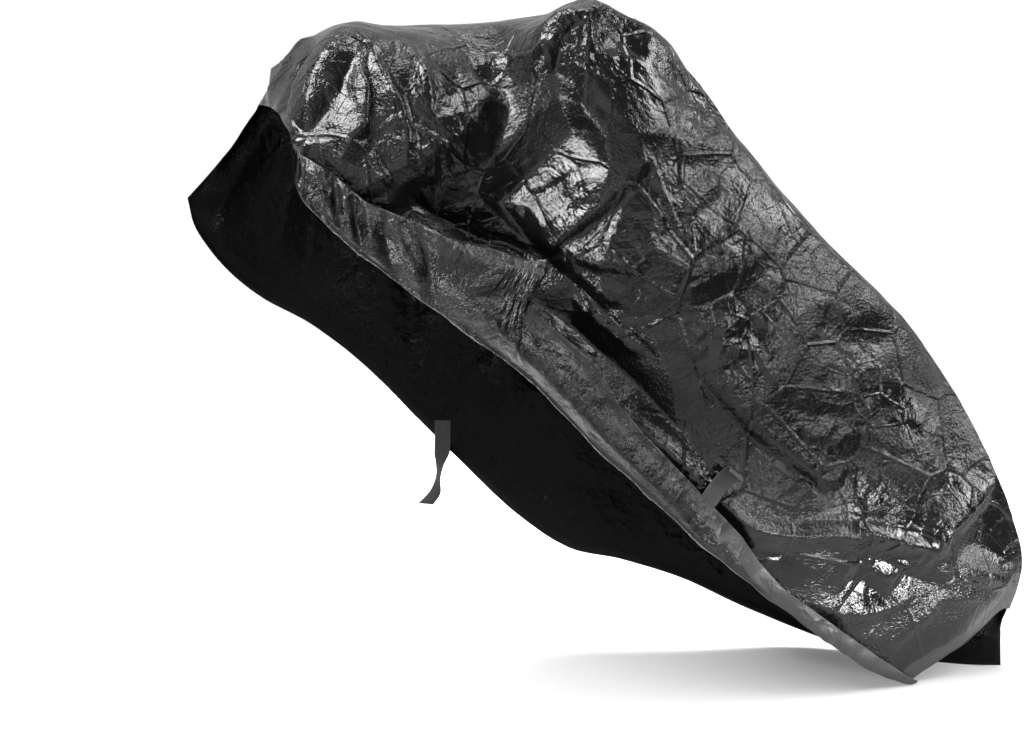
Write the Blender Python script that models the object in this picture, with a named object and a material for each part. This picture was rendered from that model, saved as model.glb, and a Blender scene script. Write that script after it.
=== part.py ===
"""A bicycle cover of coated woven tape, as it hangs over a parked bicycle that isn't part of it.

The cloth is one sheet. It runs from the hem on the far side over the spine, down the near side to a
fold, and back up the outside of the near side as a turned-up cuff that ends in its own hem. The front
is pushed back over the handlebar, and the back hangs down to the floor. A webbing strap is sewn to
each hem. x runs to the back of the bicycle, y to the far side, and heights are above the floor until
the last step, which puts the origin where the top of the cover rests.
"""

import bpy
import numpy as np
from mathutils import Vector
from mathutils.bvhtree import BVHTree
from mathutils.geometry import delaunay_2d_cdt

# Driving sizes, in metres
CLOTH = 0.002
REST_HEIGHT = 1.3075
CUFF_GAP = 0.014
CUFF_GAP_BACK = 0.008
STRAP_WIDTH = 0.034
STRAP_THICKNESS = 0.0015
SEAT_GAP = 0.0005
STRAP_CLEARANCE = 0.003
OVER = 0.1
UNDER_CUFF_FADE = 0.020
FOOT_FADE = 0.025

# How finely the sheet is divided: stations from front to back, and rows across each part of it
STATION_COUNT = 48
FAR_ROWS = 11
NEAR_ROWS = 26
TURN_ROWS = 3
CUFF_ROWS = 5

# The sheet's lines, one row for each station from the front hem to the back hem.
# The spine is its highest line, and the lip is where the top turns down into the near side.
# spine: x, y, height; lip: x, y, height
TOP = np.array([
    (-0.610, 0.060, 1.125, -0.568, -0.100, 1.111),
    (-0.565, 0.060, 1.210, -0.530, -0.120, 1.165),
    (-0.480, 0.060, 1.260, -0.456, -0.130, 1.225),
    (-0.400, 0.070, 1.270, -0.384, -0.120, 1.223),
    (-0.295, 0.070, 1.270, -0.287, -0.110, 1.203),
    (-0.180, 0.060, 1.275, -0.178, -0.100, 1.177),
    (-0.070, 0.040, 1.288, -0.085, -0.130, 1.243),
    (0.000, 0.020, 1.308, -0.015, -0.105, 1.270),
    (0.110, 0.000, 1.248, 0.085, -0.090, 1.222),
    (0.206, 0.000, 1.162, 0.169, -0.050, 1.142),
    (0.317, 0.000, 1.022, 0.274, -0.050, 1.008),
    (0.446, 0.000, 0.883, 0.393, -0.050, 0.868),
    (0.581, 0.000, 0.761, 0.522, -0.050, 0.748),
    (0.699, 0.000, 0.617, 0.638, -0.045, 0.606),
    (0.800, 0.000, 0.453, 0.738, -0.040, 0.448),
    (0.870, 0.000, 0.307, 0.814, -0.035, 0.306),
    (0.896, 0.000, 0.209, 0.848, -0.030, 0.207),
    (0.875, 0.000, 0.119, 0.838, -0.030, 0.123),
])

# near side: y halfway down; fold at its foot: x, y, height
NEAR = np.array([
    (-0.170, -0.518, -0.220, 1.052),
    (-0.200, -0.524, -0.225, 0.983),
    (-0.220, -0.474, -0.220, 0.926),
    (-0.215, -0.422, -0.210, 0.877),
    (-0.200, -0.353, -0.200, 0.821),
    (-0.180, -0.278, -0.195, 0.767),
    (-0.165, -0.195, -0.190, 0.702),
    (-0.165, -0.119, -0.190, 0.640),
    (-0.170, -0.029, -0.190, 0.544),
    (-0.175, 0.061, -0.195, 0.462),
    (-0.175, 0.150, -0.195, 0.374),
    (-0.170, 0.239, -0.190, 0.297),
    (-0.160, 0.329, -0.175, 0.220),
    (-0.145, 0.422, -0.155, 0.146),
    (-0.125, 0.502, -0.130, 0.083),
    (-0.105, 0.571, -0.105, 0.036),
    (-0.090, 0.611, -0.095, 0.017),
    (-0.070, 0.641, -0.085, 0.006),
])

# far side: y halfway down; hem at its foot: x, y, height
FAR = np.array([
    (0.270, -0.802, 0.330, 0.943),
    (0.290, -0.790, 0.340, 0.880),
    (0.290, -0.729, 0.330, 0.796),
    (0.280, -0.653, 0.310, 0.734),
    (0.260, -0.549, 0.290, 0.678),
    (0.240, -0.436, 0.260, 0.594),
    (0.220, -0.324, 0.240, 0.480),
    (0.210, -0.236, 0.220, 0.392),
    (0.200, -0.127, 0.200, 0.286),
    (0.190, -0.012, 0.190, 0.207),
    (0.180, 0.103, 0.180, 0.181),
    (0.170, 0.229, 0.160, 0.144),
    (0.150, 0.356, 0.140, 0.085),
    (0.130, 0.478, 0.120, 0.036),
    (0.100, 0.579, 0.080, 0.008),
    (0.060, 0.673, 0.030, 0.003),
    (0.030, 0.784, -0.010, 0.003),
    (0.010, 0.855, -0.020, 0.003),
])

# The cuff that is turned up at the near side's foot: place in the tables, width of the cuff there.
# Its free edge steps in at a notch, and leans over to each side of it.
CUFF_WIDTH = np.array([
    (0.00, 0.012),
    (0.60, 0.060),
    (1.20, 0.105),
    (2.00, 0.113),
    (3.00, 0.108),
    (4.00, 0.131),
    (5.00, 0.145),
    (6.00, 0.181),
    (6.38, 0.200),
    (6.44, 0.112),
    (7.00, 0.103),
    (8.00, 0.113),
    (9.00, 0.075),
    (10.0, 0.070),
    (11.0, 0.053),
    (12.0, 0.026),
    (14.0, 0.027),
    (15.0, 0.024),
    (17.0, 0.010),
])
NOTCH = (6.38, 6.44)
NOTCH_LEAN = 0.045
NOTCH_LEAN_BACK = -0.018
CUFF_ROLL = 0.10

# Creases of the near side, one row each: points along it as x, height, and how far out the cloth is
# there (less than nothing is in). The cloth is flat between the creases.
NEAR_CREASES = (
    # front edge of the top
    ((-0.568, 1.207, 0.004), (-0.447, 1.244, 0.016), (-0.412, 1.237, 0.014), (-0.294, 1.228, 0.002),
     (-0.226, 1.201, -0.014), (-0.178, 1.171, -0.046)),
    # from the notch to the peak
    ((-0.178, 1.171, -0.046), (-0.111, 1.237, 0.004), (-0.031, 1.268, 0.022)),
    # first pleat
    ((-0.447, 1.244, 0.016), (-0.482, 1.176, 0.020), (-0.512, 1.071, -0.004)),
    # first valley
    ((-0.430, 1.186, 0.000), (-0.470, 1.121, -0.014), (-0.511, 1.067, -0.006)),
    # second pleat
    ((-0.412, 1.237, 0.014), (-0.404, 1.139, 0.022), (-0.434, 1.059, 0.014)),
    # second valley
    ((-0.412, 1.237, 0.014), (-0.398, 1.132, -0.004), (-0.398, 1.036, -0.006)),
    # third pleat
    ((-0.412, 1.237, 0.014), (-0.352, 1.119, 0.022), (-0.341, 1.076, 0.020), (-0.357, 0.978, -0.010)),
    # lip of the hollow
    ((-0.357, 0.978, -0.010), (-0.289, 1.045, 0.002), (-0.219, 1.107, 0.004), (-0.178, 1.171, -0.046)),
    # hollow
    ((-0.178, 1.171, -0.046), (-0.179, 1.046, -0.054), (-0.165, 0.954, -0.050), (-0.096, 0.860, -0.046)),
    # foot of the hollow
    ((-0.357, 0.978, -0.010), (-0.271, 0.937, -0.062), (-0.154, 0.873, -0.062), (-0.096, 0.860, -0.046)),
    # peak crease
    ((-0.031, 1.268, 0.022), (-0.034, 1.202, 0.034), (-0.035, 1.121, 0.020), (0.004, 1.065, 0.014)),
    # edge of the shoulder
    ((-0.035, 1.121, 0.020), (-0.100, 1.035, -0.026), (-0.165, 0.954, -0.050)),
    # shoulder
    ((0.004, 1.065, 0.014), (0.003, 1.002, 0.018), (-0.018, 0.939, 0.024), (-0.089, 0.880, 0.004),
     (-0.165, 0.954, -0.050)),
    # second shoulder
    ((-0.089, 0.880, 0.004), (-0.005, 0.858, 0.032), (0.056, 0.842, 0.028), (0.072, 0.973, 0.016),
     (0.004, 1.065, 0.014)),
    # under the shoulder
    ((-0.096, 0.860, -0.046), (-0.074, 0.848, -0.016), (-0.004, 0.834, 0.002), (0.158, 0.827, 0.010),
     (0.224, 0.822, 0.004)),
    # long trough
    ((-0.096, 0.860, -0.046), (-0.004, 0.770, -0.034), (0.098, 0.690, -0.018), (0.177, 0.606, -0.012),
     (0.205, 0.599, -0.024)),
    # end of the long trough
    ((0.205, 0.599, -0.024), (0.309, 0.501, -0.024), (0.388, 0.447, -0.022), (0.430, 0.400, -0.002)),
    # above the long trough
    ((-0.004, 0.770, -0.034), (0.094, 0.788, 0.006), (0.224, 0.822, 0.004)),
    # behind the long trough
    ((0.176, 0.664, -0.008), (0.256, 0.579, 0.006), (0.370, 0.489, 0.004), (0.431, 0.441, 0.004)),
    # hollow along the cuff
    ((-0.119, 0.785, -0.044), (-0.047, 0.731, -0.058), (0.015, 0.674, -0.060), (0.078, 0.614, -0.054),
     (0.143, 0.545, -0.034), (0.201, 0.474, -0.014)),
    # crest by the cuff
    ((0.071, 0.561, -0.012), (0.115, 0.519, 0.002), (0.205, 0.435, 0.002)),
    # crease down from the peak
    ((0.084, 1.195, 0.004), (0.183, 1.148, -0.006), (0.233, 1.114, -0.012), (0.295, 1.049, -0.002)),
    # level crease
    ((0.004, 1.065, 0.014), (0.132, 1.064, 0.012), (0.224, 1.041, 0.006), (0.224, 0.822, 0.004)),
    # short trough
    ((0.224, 0.822, 0.004), (0.269, 0.764, -0.016), (0.293, 0.696, 0.000)),
    # crease across the back
    ((0.293, 0.696, 0.000), (0.367, 0.741, 0.008), (0.505, 0.683, -0.008), (0.619, 0.719, 0.006)),
    # low crease across the back
    ((0.370, 0.576, -0.002), (0.500, 0.549, -0.004), (0.632, 0.504, 0.008), (0.811, 0.403, 0.012)),
    # fold above the back hem
    ((0.224, 0.414, 0.008), (0.316, 0.348, 0.020), (0.495, 0.322, 0.018), (0.646, 0.289, 0.014),
     (0.839, 0.230, 0.004)),
    # over that fold
    ((0.280, 0.441, -0.006), (0.475, 0.356, -0.008), (0.631, 0.317, -0.008)),
    # under that fold
    ((0.285, 0.322, -0.002), (0.431, 0.312, -0.006), (0.543, 0.283, -0.016), (0.613, 0.248, -0.014),
     (0.826, 0.196, -0.002)),
    # corner ridge
    ((0.646, 0.289, 0.014), (0.741, 0.361, 0.022), (0.811, 0.403, 0.012)),
    # behind the corner ridge
    ((0.678, 0.268, 0.008), (0.728, 0.315, -0.008), (0.801, 0.354, -0.004)),
    # low dent
    ((0.462, 0.212, -0.008), (0.516, 0.245, -0.018), (0.566, 0.190, -0.014), (0.643, 0.237, -0.008)),
    # under the low dent
    ((0.462, 0.212, -0.008), (0.523, 0.178, 0.022), (0.611, 0.177, 0.010), (0.692, 0.190, 0.010),
     (0.616, 0.116, 0.008)),
)

# Creases of the cuff, in the same columns, above its gap to the near side
CUFF_CREASES = (
    # free edge
    ((-0.497, 1.059, 0.000), (-0.423, 0.993, 0.000), (-0.367, 0.967, 0.000), (-0.252, 0.906, 0.000),
     (-0.108, 0.859, 0.000)),
    # free edge past the notch
    ((-0.172, 0.799, 0.002), (-0.074, 0.707, 0.003), (0.007, 0.608, 0.005), (0.175, 0.418, 0.006)),
    # first flap
    ((-0.497, 1.059, 0.000), (-0.484, 1.000, 0.016), (-0.470, 0.922, 0.008)),
    # second flap
    ((-0.460, 1.026, 0.000), (-0.447, 0.963, 0.014), (-0.433, 0.887, 0.006)),
    # third flap
    ((-0.423, 0.993, 0.000), (-0.410, 0.937, 0.018), (-0.391, 0.863, 0.008)),
    # fourth flap
    ((-0.386, 0.969, 0.000), (-0.360, 0.907, 0.016), (-0.319, 0.796, 0.006)),
    # crest
    ((-0.299, 0.854, 0.008), (-0.247, 0.819, 0.024), (-0.180, 0.758, 0.028), (-0.110, 0.689, 0.026),
     (-0.048, 0.620, 0.024), (0.016, 0.552, 0.020), (0.090, 0.464, 0.014), (0.265, 0.275, 0.006)),
    # below the crest
    ((-0.268, 0.788, 0.002), (-0.110, 0.635, 0.003), (0.071, 0.458, 0.002), (0.166, 0.359, 0.002)),
)
# Places outside the near side's creases, where the cloth is neither out nor in: x, height
FRONT_AND_TAIL = ((-0.540, 1.110), (-0.520, 1.020), (0.900, 0.100))

# Folds of the far side: how far the fold stands out (less than nothing for a trough), how wide it is
# to the left and to the right of its line, and the line as x, height pairs
FAR_FOLDS = (
    (0.020, 0.060, 0.060, ((-0.600, 1.130), (-0.690, 1.000), (-0.760, 0.880))),
    (-0.018, 0.060, 0.060, ((-0.470, 1.180), (-0.520, 0.980), (-0.560, 0.760))),
    (0.018, 0.060, 0.060, ((-0.330, 1.160), (-0.350, 0.920), (-0.330, 0.600))),
    (-0.022, 0.070, 0.060, ((-0.160, 1.200), (-0.170, 0.900), (-0.130, 0.480))),
    (0.022, 0.060, 0.060, ((0.000, 1.200), (-0.010, 0.950), (0.040, 0.500))),
    (-0.018, 0.060, 0.070, ((0.130, 1.130), (0.120, 0.800), (0.160, 0.350))),
    (0.016, 0.060, 0.060, ((0.270, 0.980), (0.240, 0.700), (0.270, 0.260))),
    (-0.014, 0.060, 0.060, ((0.400, 0.840), (0.380, 0.560), (0.420, 0.150))),
    (0.012, 0.050, 0.050, ((0.560, 0.700), (0.560, 0.450), (0.580, 0.120))),
)

# The straps' middle lines. The near one comes out from under the cuff's hem, leans to the back and
# curls away from the cloth: how far past the hem, how far off the cloth.
NEAR_STRAP_STATION = 10.35
NEAR_STRAP_LEAN = np.radians(30)
NEAR_STRAP = np.array([
    (-0.024, 0.000),
    (-0.004, 0.000),
    (0.016, 0.000),
    (0.038, 0.000),
    (0.054, 0.006),
    (0.066, 0.018),
    (0.066, 0.034),
    (0.056, 0.044),
])
# The far one is sewn inside the far hem and hangs below it: how far to the front, how far below the
# hem, how far inside the cloth, and the turn of its face in degrees.
FAR_STRAP_STATION = 6.6
FAR_STRAP = np.array([
    (0.000, -0.050, 0.000, 0),
    (0.000, -0.018, 0.000, 0),
    (0.001, 0.012, 0.002, 0),
    (0.005, 0.040, 0.010, 50),
    (0.008, 0.070, 0.016, 65),
    (0.014, 0.100, 0.018, 40),
    (0.034, 0.126, 0.022, 10),
])


def curve(rows, places):
    """Smooth curve through the rows of a table: place 0 is the first row, 1 the second and so on."""
    rows = np.asarray(rows, float)
    places = np.asarray(places, float)
    padded = np.concatenate([2 * rows[:1] - rows[1:2], rows, 2 * rows[-1:] - rows[-2:-1]])
    first = np.clip(np.floor(places).astype(int), 0, len(rows) - 2)
    t = (places - first)[..., None]
    a, b, c, d = (padded[first + step] for step in range(4))
    return 0.5 * (2 * b + (c - a) * t + (2 * a - 5 * b + 4 * c - d) * t**2 + (3 * b - 3 * c + d - a) * t**3)


def stations(count):
    """Places in the tables that are evenly spaced along the middle of the near side, with the two sides
    of the notch added."""
    fine = np.linspace(0, len(TOP) - 1, 1000)
    middle = (curve(TOP, fine)[:, :3] + curve(NEAR, fine)[:, 1:4]) / 2
    along = np.concatenate([[0], np.cumsum(np.linalg.norm(np.diff(middle, axis=0), axis=1))])
    return np.sort(np.append(np.interp(np.linspace(0, along[-1], count), along, fine), NOTCH))


def side(place, down, far):
    """Points of one side: place is the station (rows), down is 0 at the spine and 1 at the foot."""
    top = curve(TOP, place)
    spine = top[:, :3]
    if far:
        table = curve(FAR, place)
        middle_y, foot = table[:, 0], table[:, 1:4]
        lip = spine + (foot - spine) * 0.12
        lip[:, 1] = spine[:, 1] + (middle_y - spine[:, 1]) * 0.55
        lip[:, 2] = spine[:, 2] - 0.03 * np.minimum(1, (spine[:, 2] - foot[:, 2]) / 0.3)
    else:
        table = curve(NEAR, place)
        middle_y, foot = table[:, 0], table[:, 1:4]
        lip = top[:, 3:6]
    middle = lip + (foot - lip) * 0.43
    middle[:, 1] = middle_y
    across = 2 * spine - lip
    across[:, 2] = lip[:, 2]
    line = np.stack([across, spine, lip, middle, foot, 2 * foot - middle], 1)
    lengths = np.linalg.norm(np.diff(line[:, 1:5], axis=1), axis=2).mean(0)
    knots = np.concatenate([[0], np.cumsum(lengths)]) / lengths.sum()
    t = np.interp(down, knots, np.arange(4.0))
    first = np.clip(np.floor(t).astype(int), 0, 2)
    t = (t - first)[..., None]
    row = np.arange(len(place))[:, None]
    a, b, c, d = (line[row, first + step] for step in range(4))
    return 0.5 * (2 * b + (c - a) * t + (2 * a - 5 * b + 4 * c - d) * t**2 + (3 * b - 3 * c + d - a) * t**3)


def outward(grid):
    """Unit normals of a grid of points, away from the inside of the cover."""
    normal = np.cross(np.gradient(grid, axis=1), np.gradient(grid, axis=0))
    return normal / np.linalg.norm(normal, axis=2, keepdims=True)


def relief(x, height, folds):
    """How far the folds move each place: a soft tent over each line, dying out at the line's ends.
    Where ridges meet, the highest counts, and where troughs meet, the deepest."""
    ridges = np.zeros_like(x)
    troughs = np.zeros_like(x)
    for rise, left, right, line in folds:
        points = curve(line, np.linspace(0, len(line) - 1, 4 * len(line)))
        nearest = np.full(x.shape, 1e9)
        here = np.zeros_like(x)
        for k, (start, end) in enumerate(zip(points[:-1], points[1:])):
            along = end - start
            px, ph = x - start[0], height - start[1]
            t = np.clip((px * along[0] + ph * along[1]) / (along @ along), 0, 1)
            dx, dh = px - t * along[0], ph - t * along[1]
            distance = np.hypot(dx, dh)
            on_left = along[0] * dh - along[1] * dx > 0
            tent = np.clip(1 - distance / np.where(on_left, left, right), 0, 1)
            fade = np.clip(np.minimum(k + t, len(points) - 1 - k - t) / (0.2 * len(points)), 0, 1)
            closer = distance < nearest
            nearest = np.where(closer, distance, nearest)
            here = np.where(closer, (0.35 * tent + 0.65 * tent**2) * np.sin(fade * np.pi / 2), here)
        ridges = np.maximum(ridges, rise * here)
        troughs = np.minimum(troughs, rise * here)
    return ridges + troughs


def facets(x, height, creases, border):
    """How far out the cloth is at each place, on flat facets between creases. The creases' points and a
    border of points at 0 are joined by a Delaunay triangulation that keeps each crease as an edge, and
    a place takes its height from its triangle by its three barycentric shares."""
    points = [point for crease in creases for point in crease] + [(px, ph, 0.0) for px, ph in border]
    edges = []
    start = 0
    for crease in creases:
        edges += [(start + k, start + k + 1) for k in range(len(crease) - 1)]
        start += len(crease)
    flat_points = [Vector(point[:2]) for point in points]
    corners, _, triangles, origins, _, _ = delaunay_2d_cdt(flat_points, edges, [], 0, 1e-4)
    out = [max((points[k][2] for k in source), key=abs) if source else 0.0 for source in origins]
    result = np.zeros_like(x)
    for a, b, c in triangles:
        ab, ac = corners[b] - corners[a], corners[c] - corners[a]
        px, ph = x - corners[a].x, height - corners[a].y
        whole = ab.cross(ac)
        share_b = (px * ac.y - ph * ac.x) / whole
        share_c = (ab.x * ph - ab.y * px) / whole
        share_a = 1 - share_b - share_c
        inside = np.minimum(np.minimum(share_a, share_b), share_c) >= 0
        result = np.where(inside, share_a * out[a] + share_b * out[b] + share_c * out[c], result)
    return result


def softened(values):
    """A grid of values, each averaged with its neighbours 1-2-1 both ways, so that no crease is
    sharper than the grid."""
    for _ in range(2):
        padded = np.pad(values, ((1, 1), (0, 0)), mode="edge")
        values = ((padded[:-2] + 2 * padded[1:-1] + padded[2:]) / 4).T
    return values


def row_lengths(grid):
    """Length of each row of a grid of points."""
    return np.linalg.norm(np.diff(grid, axis=1), axis=2).sum(1)[:, None]


def unit_rows(vectors):
    """The vectors, each at length 1."""
    return vectors / np.linalg.norm(vectors, axis=1, keepdims=True)


def sheet(place):
    """The whole sheet's middle surface: a grid with a row of points for each station."""
    far = side(place, np.tile(np.linspace(1, 0, FAR_ROWS + 1), (len(place), 1)), True)
    down = np.tile(np.linspace(0, 1, NEAR_ROWS + 1), (len(place), 1))
    near = side(place, down, False)
    near_normal = outward(near)
    width = np.interp(place, *CUFF_WIDTH.T)[:, None]
    above_foot = (1 - down) * row_lengths(near)
    # Nothing stands out under the cuff, and the fold at the foot stays where it is
    border = np.concatenate([TOP[:, [0, 2]], NEAR[:, [1, 3]], FRONT_AND_TAIL])
    lift = softened(facets(near[..., 0], near[..., 2], NEAR_CREASES, border))
    under_cuff = np.clip((width + UNDER_CUFF_FADE - above_foot) / UNDER_CUFF_FADE, 0, 1)
    lift -= under_cuff * np.maximum(lift, 0)
    lift *= np.clip(above_foot / FOOT_FADE, 0, 1)
    far_lift = relief(far[..., 0], far[..., 2], FAR_FOLDS)
    far = far + outward(far) * far_lift[..., None]
    # The cuff lies outside the near side, and the turn is half a circle between the two
    up_cuff = np.linspace(0, 1, CUFF_ROWS + 1)
    cuff = side(place, 1 - up_cuff * width / row_lengths(near), False)
    near = near + near_normal * lift[..., None]
    gap = np.interp(place, [0, 13, len(TOP) - 1], [CUFF_GAP, CUFF_GAP, CUFF_GAP_BACK])[:, None]
    roll = CUFF_ROLL * width * np.sin(np.pi * up_cuff**0.8)
    cuff_lift = gap + roll + softened(facets(cuff[..., 0], cuff[..., 2], CUFF_CREASES, NEAR[:, [1, 3]]))
    cuff_lift = np.maximum(cuff_lift, gap / 2)
    before = NOTCH_LEAN * np.clip(1 - (NOTCH[0] - place) / 1.2, 0, 1)
    behind = NOTCH_LEAN_BACK * np.clip(1 - (place - NOTCH[1]) / 0.8, 0, 1)
    lean = np.where(place <= NOTCH[0], before, behind)[:, None, None] * up_cuff[None, :, None] ** 2
    back = unit_rows(np.gradient(near[:, -1], axis=0))[:, None]
    cuff = cuff + near_normal[:, -1:] * cuff_lift[..., None] + back * lean
    angle = np.linspace(0, np.pi, TURN_ROWS + 2)[1:-1, None]
    downward = unit_rows(near[:, -1] - near[:, -2])[:, None]
    radius = (cuff_lift[:, :1] / 2)[..., None]
    turn = near[:, -1:] + near_normal[:, -1:] * radius * (1 - np.cos(angle)) + downward * radius * np.sin(angle)
    return np.concatenate([far[:, :-1], near, turn, cuff], axis=1)


def grid_mesh(name, grid):
    """A mesh of quads on a grid of points, with its faces outwards."""
    rows, columns = grid.shape[:2]
    index = np.arange(rows * columns).reshape(rows, columns)
    corners = (index[:-1, :-1], index[:-1, 1:], index[1:, 1:], index[1:, :-1])
    mesh = bpy.data.meshes.new(name)
    mesh.from_pydata(grid.reshape(-1, 3).tolist(), [], np.stack(corners, -1).reshape(-1, 4).tolist())
    mesh.update()
    return mesh


def surface_material(name, colour, roughness, metallic):
    """A plain Principled material."""
    material = bpy.data.materials.new(name)
    material.use_nodes = True
    shader = material.node_tree.nodes["Principled BSDF"]
    shader.inputs["Base Color"].default_value = (*colour, 1)
    shader.inputs["Roughness"].default_value = roughness
    shader.inputs["Metallic"].default_value = metallic
    return material


def add(name, mesh, material):
    """An object of the mesh, with that material, in the scene."""
    thing = bpy.data.objects.new(name, mesh)
    mesh.materials.append(material)
    bpy.context.scene.collection.objects.link(thing)
    return thing


def thicken(thing, thickness):
    """Gives a sheet its thickness, half to each side of the modelled surface."""
    solid = thing.modifiers.new("thickness", "SOLIDIFY")
    solid.thickness = thickness
    solid.offset = 0


def ribbon(name, line, across, material):
    """A strap of webbing: its middle line runs through the points, and across is its width's direction
    at each of them."""
    places = np.linspace(0, len(line) - 1, 3 * len(line) - 2)
    middle, width_way = curve(line, places), curve(across, places)
    width_way /= np.linalg.norm(width_way, axis=1, keepdims=True)
    offsets = np.array([-0.5, 0, 0.5])[None, :, None] * STRAP_WIDTH * width_way[:, None]
    strap = add(name, grid_mesh(name, middle[:, None] + offsets), material)
    thicken(strap, STRAP_THICKNESS)
    return strap


def evaluated_tree(thing):
    """A search tree of the object's faces, with its modifiers."""
    bpy.context.view_layer.update()
    return BVHTree.FromObject(thing, bpy.context.evaluated_depsgraph_get())


for old in list(bpy.data.objects):
    bpy.data.objects.remove(old, do_unlink=True)

coated_cloth = surface_material("coated_cloth", (0.022, 0.023, 0.022), 0.28, 0.0)
webbing = surface_material("webbing", (0.045, 0.045, 0.046), 0.75, 0.0)

# The cloth, with the origin moved to where the top rests
place = stations(STATION_COUNT)
points = sheet(place) - np.array([0, 0, REST_HEIGHT])
cover = add("cover", grid_mesh("cover", points), coated_cloth)
thicken(cover, CLOTH)
tree = evaluated_tree(cover)


def unit(vector):
    """The vector at length 1."""
    return vector / np.linalg.norm(vector)


def frame_at(station, end, inner):
    """A place on the sheet's edge column, end, and three directions there: from the edge into the
    sheet, square to the sheet, and to the back along the edge. inner is the next column in."""
    column = np.interp(station, place, np.arange(len(place)))
    rows = points.reshape(len(points), -1)
    here, ahead = curve(rows, np.array([column, column + 0.5])).reshape(2, -1, 3)
    inward = unit(here[inner] - here[end])
    back = ahead[end] - here[end]
    back = unit(back - inward * (back @ inward))
    return here[end], inward, np.cross(inward, back), back


def room(spots, way):
    """The shortest way from the spots to the cloth in that direction."""
    hits = (tree.ray_cast(spot.tolist(), way.tolist())[3] for spot in spots)
    return min(hit for hit in hits if hit is not None)


def spots_across(line, across):
    """Spots all over a strap between two points of its line."""
    return [
        line[0] + (line[1] - line[0]) * t + across * STRAP_WIDTH * w
        for t in np.linspace(0, 1, 5)
        for w in np.linspace(-0.5, 0.5, 9)
    ]


def near_strap():
    """The strap that is sewn to the inside of the cuff's hem."""
    hem, inward, out, back = frame_at(NEAR_STRAP_STATION, -1, -2)
    out = out if out[1] < 0 else -out
    way = back * np.sin(NEAR_STRAP_LEAN) - inward * np.cos(NEAR_STRAP_LEAN)
    across = np.cross(out, way)
    line = hem - out * CUFF_GAP / 2 + NEAR_STRAP[:, :1] * way + NEAR_STRAP[:, 1:] * out
    line += out * (room(spots_across(line[[0, 2]], across), out) - SEAT_GAP - STRAP_THICKNESS / 2)
    # Past the hem it lies on the near side, clear of the folds there
    for k in range(3, len(line)):
        above = spots_across(line[[k, k]] + out * OVER, across)
        line[k] += out * max(0, STRAP_CLEARANCE + OVER - room(above, -out))
    ribbon("near_strap", line, np.tile(across, (len(line), 1)), webbing)


def far_strap():
    """The strap that is sewn to the inside of the far hem and hangs from it."""
    hem, _, out, _ = frame_at(FAR_STRAP_STATION, 0, 1)
    out = out if out[1] > 0 else -out
    forward = unit(np.array([-1, 0, 0]) - out * -out[0])
    down = np.cross(forward, out)
    down = down if down[2] < 0 else -down
    ahead, below, inside, turn = FAR_STRAP.T[:, :, None]
    line = hem - out * CUFF_GAP + ahead * forward + below * down - inside * out
    across = forward * np.cos(np.radians(turn)) + out * np.sin(np.radians(turn))
    line += out * (room(spots_across(line[:2], forward), out) - SEAT_GAP - STRAP_THICKNESS / 2)
    ribbon("far_strap", line, across, webbing)


near_strap()
far_strap()
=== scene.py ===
"""A bicycle cover of black coated woven tape, hanging as it does over a parked bicycle."""
import math

import bmesh
import bpy
import numpy as np
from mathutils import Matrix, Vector
from mathutils.bvhtree import BVHTree
from mathutils.geometry import delaunay_2d_cdt


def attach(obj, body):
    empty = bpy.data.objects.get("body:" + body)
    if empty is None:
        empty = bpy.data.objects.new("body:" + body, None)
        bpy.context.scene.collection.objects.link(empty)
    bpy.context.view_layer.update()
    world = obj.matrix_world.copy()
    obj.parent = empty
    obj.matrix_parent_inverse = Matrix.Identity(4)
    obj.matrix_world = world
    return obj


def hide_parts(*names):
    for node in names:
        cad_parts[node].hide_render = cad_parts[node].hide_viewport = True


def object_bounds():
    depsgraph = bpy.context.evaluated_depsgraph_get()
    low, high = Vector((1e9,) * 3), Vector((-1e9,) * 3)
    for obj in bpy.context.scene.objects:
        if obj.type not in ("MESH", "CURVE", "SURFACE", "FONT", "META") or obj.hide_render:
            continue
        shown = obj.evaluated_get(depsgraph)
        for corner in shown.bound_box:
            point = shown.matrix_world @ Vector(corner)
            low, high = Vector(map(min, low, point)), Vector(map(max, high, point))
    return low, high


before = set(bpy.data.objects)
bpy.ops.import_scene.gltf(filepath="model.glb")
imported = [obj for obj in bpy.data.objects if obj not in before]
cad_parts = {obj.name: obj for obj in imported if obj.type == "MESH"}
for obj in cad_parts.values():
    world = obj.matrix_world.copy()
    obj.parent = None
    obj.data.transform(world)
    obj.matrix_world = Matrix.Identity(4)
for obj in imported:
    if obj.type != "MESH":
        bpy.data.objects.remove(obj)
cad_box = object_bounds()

# --- Camera -----------------------------------------------------------------------------------
# It stands to the near side, a little towards the front and at the height of the handlebar, and
# looks slightly down.
box_low, box_high = cad_box
floor_height = box_low.z
CAMERA_ALONG = 0.479
CAMERA_OUT = 2.156
CAMERA_HEIGHT = 1.058
CAMERA_TURN = math.radians(-4.2)
CAMERA_TILT = math.radians(10.3)

camera = bpy.data.objects.new("camera", bpy.data.cameras.new("camera"))
camera.data.lens = 45
camera.data.sensor_width = 36
camera.location = (box_low.x + CAMERA_ALONG, box_low.y - CAMERA_OUT, floor_height + CAMERA_HEIGHT)
look = Vector((
    -math.sin(CAMERA_TURN) * math.cos(CAMERA_TILT),
    math.cos(CAMERA_TURN) * math.cos(CAMERA_TILT),
    -math.sin(CAMERA_TILT),
))
camera.rotation_euler = look.to_track_quat("-Z", "Y").to_euler()
bpy.context.scene.collection.objects.link(camera)
bpy.context.scene.camera = camera

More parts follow.
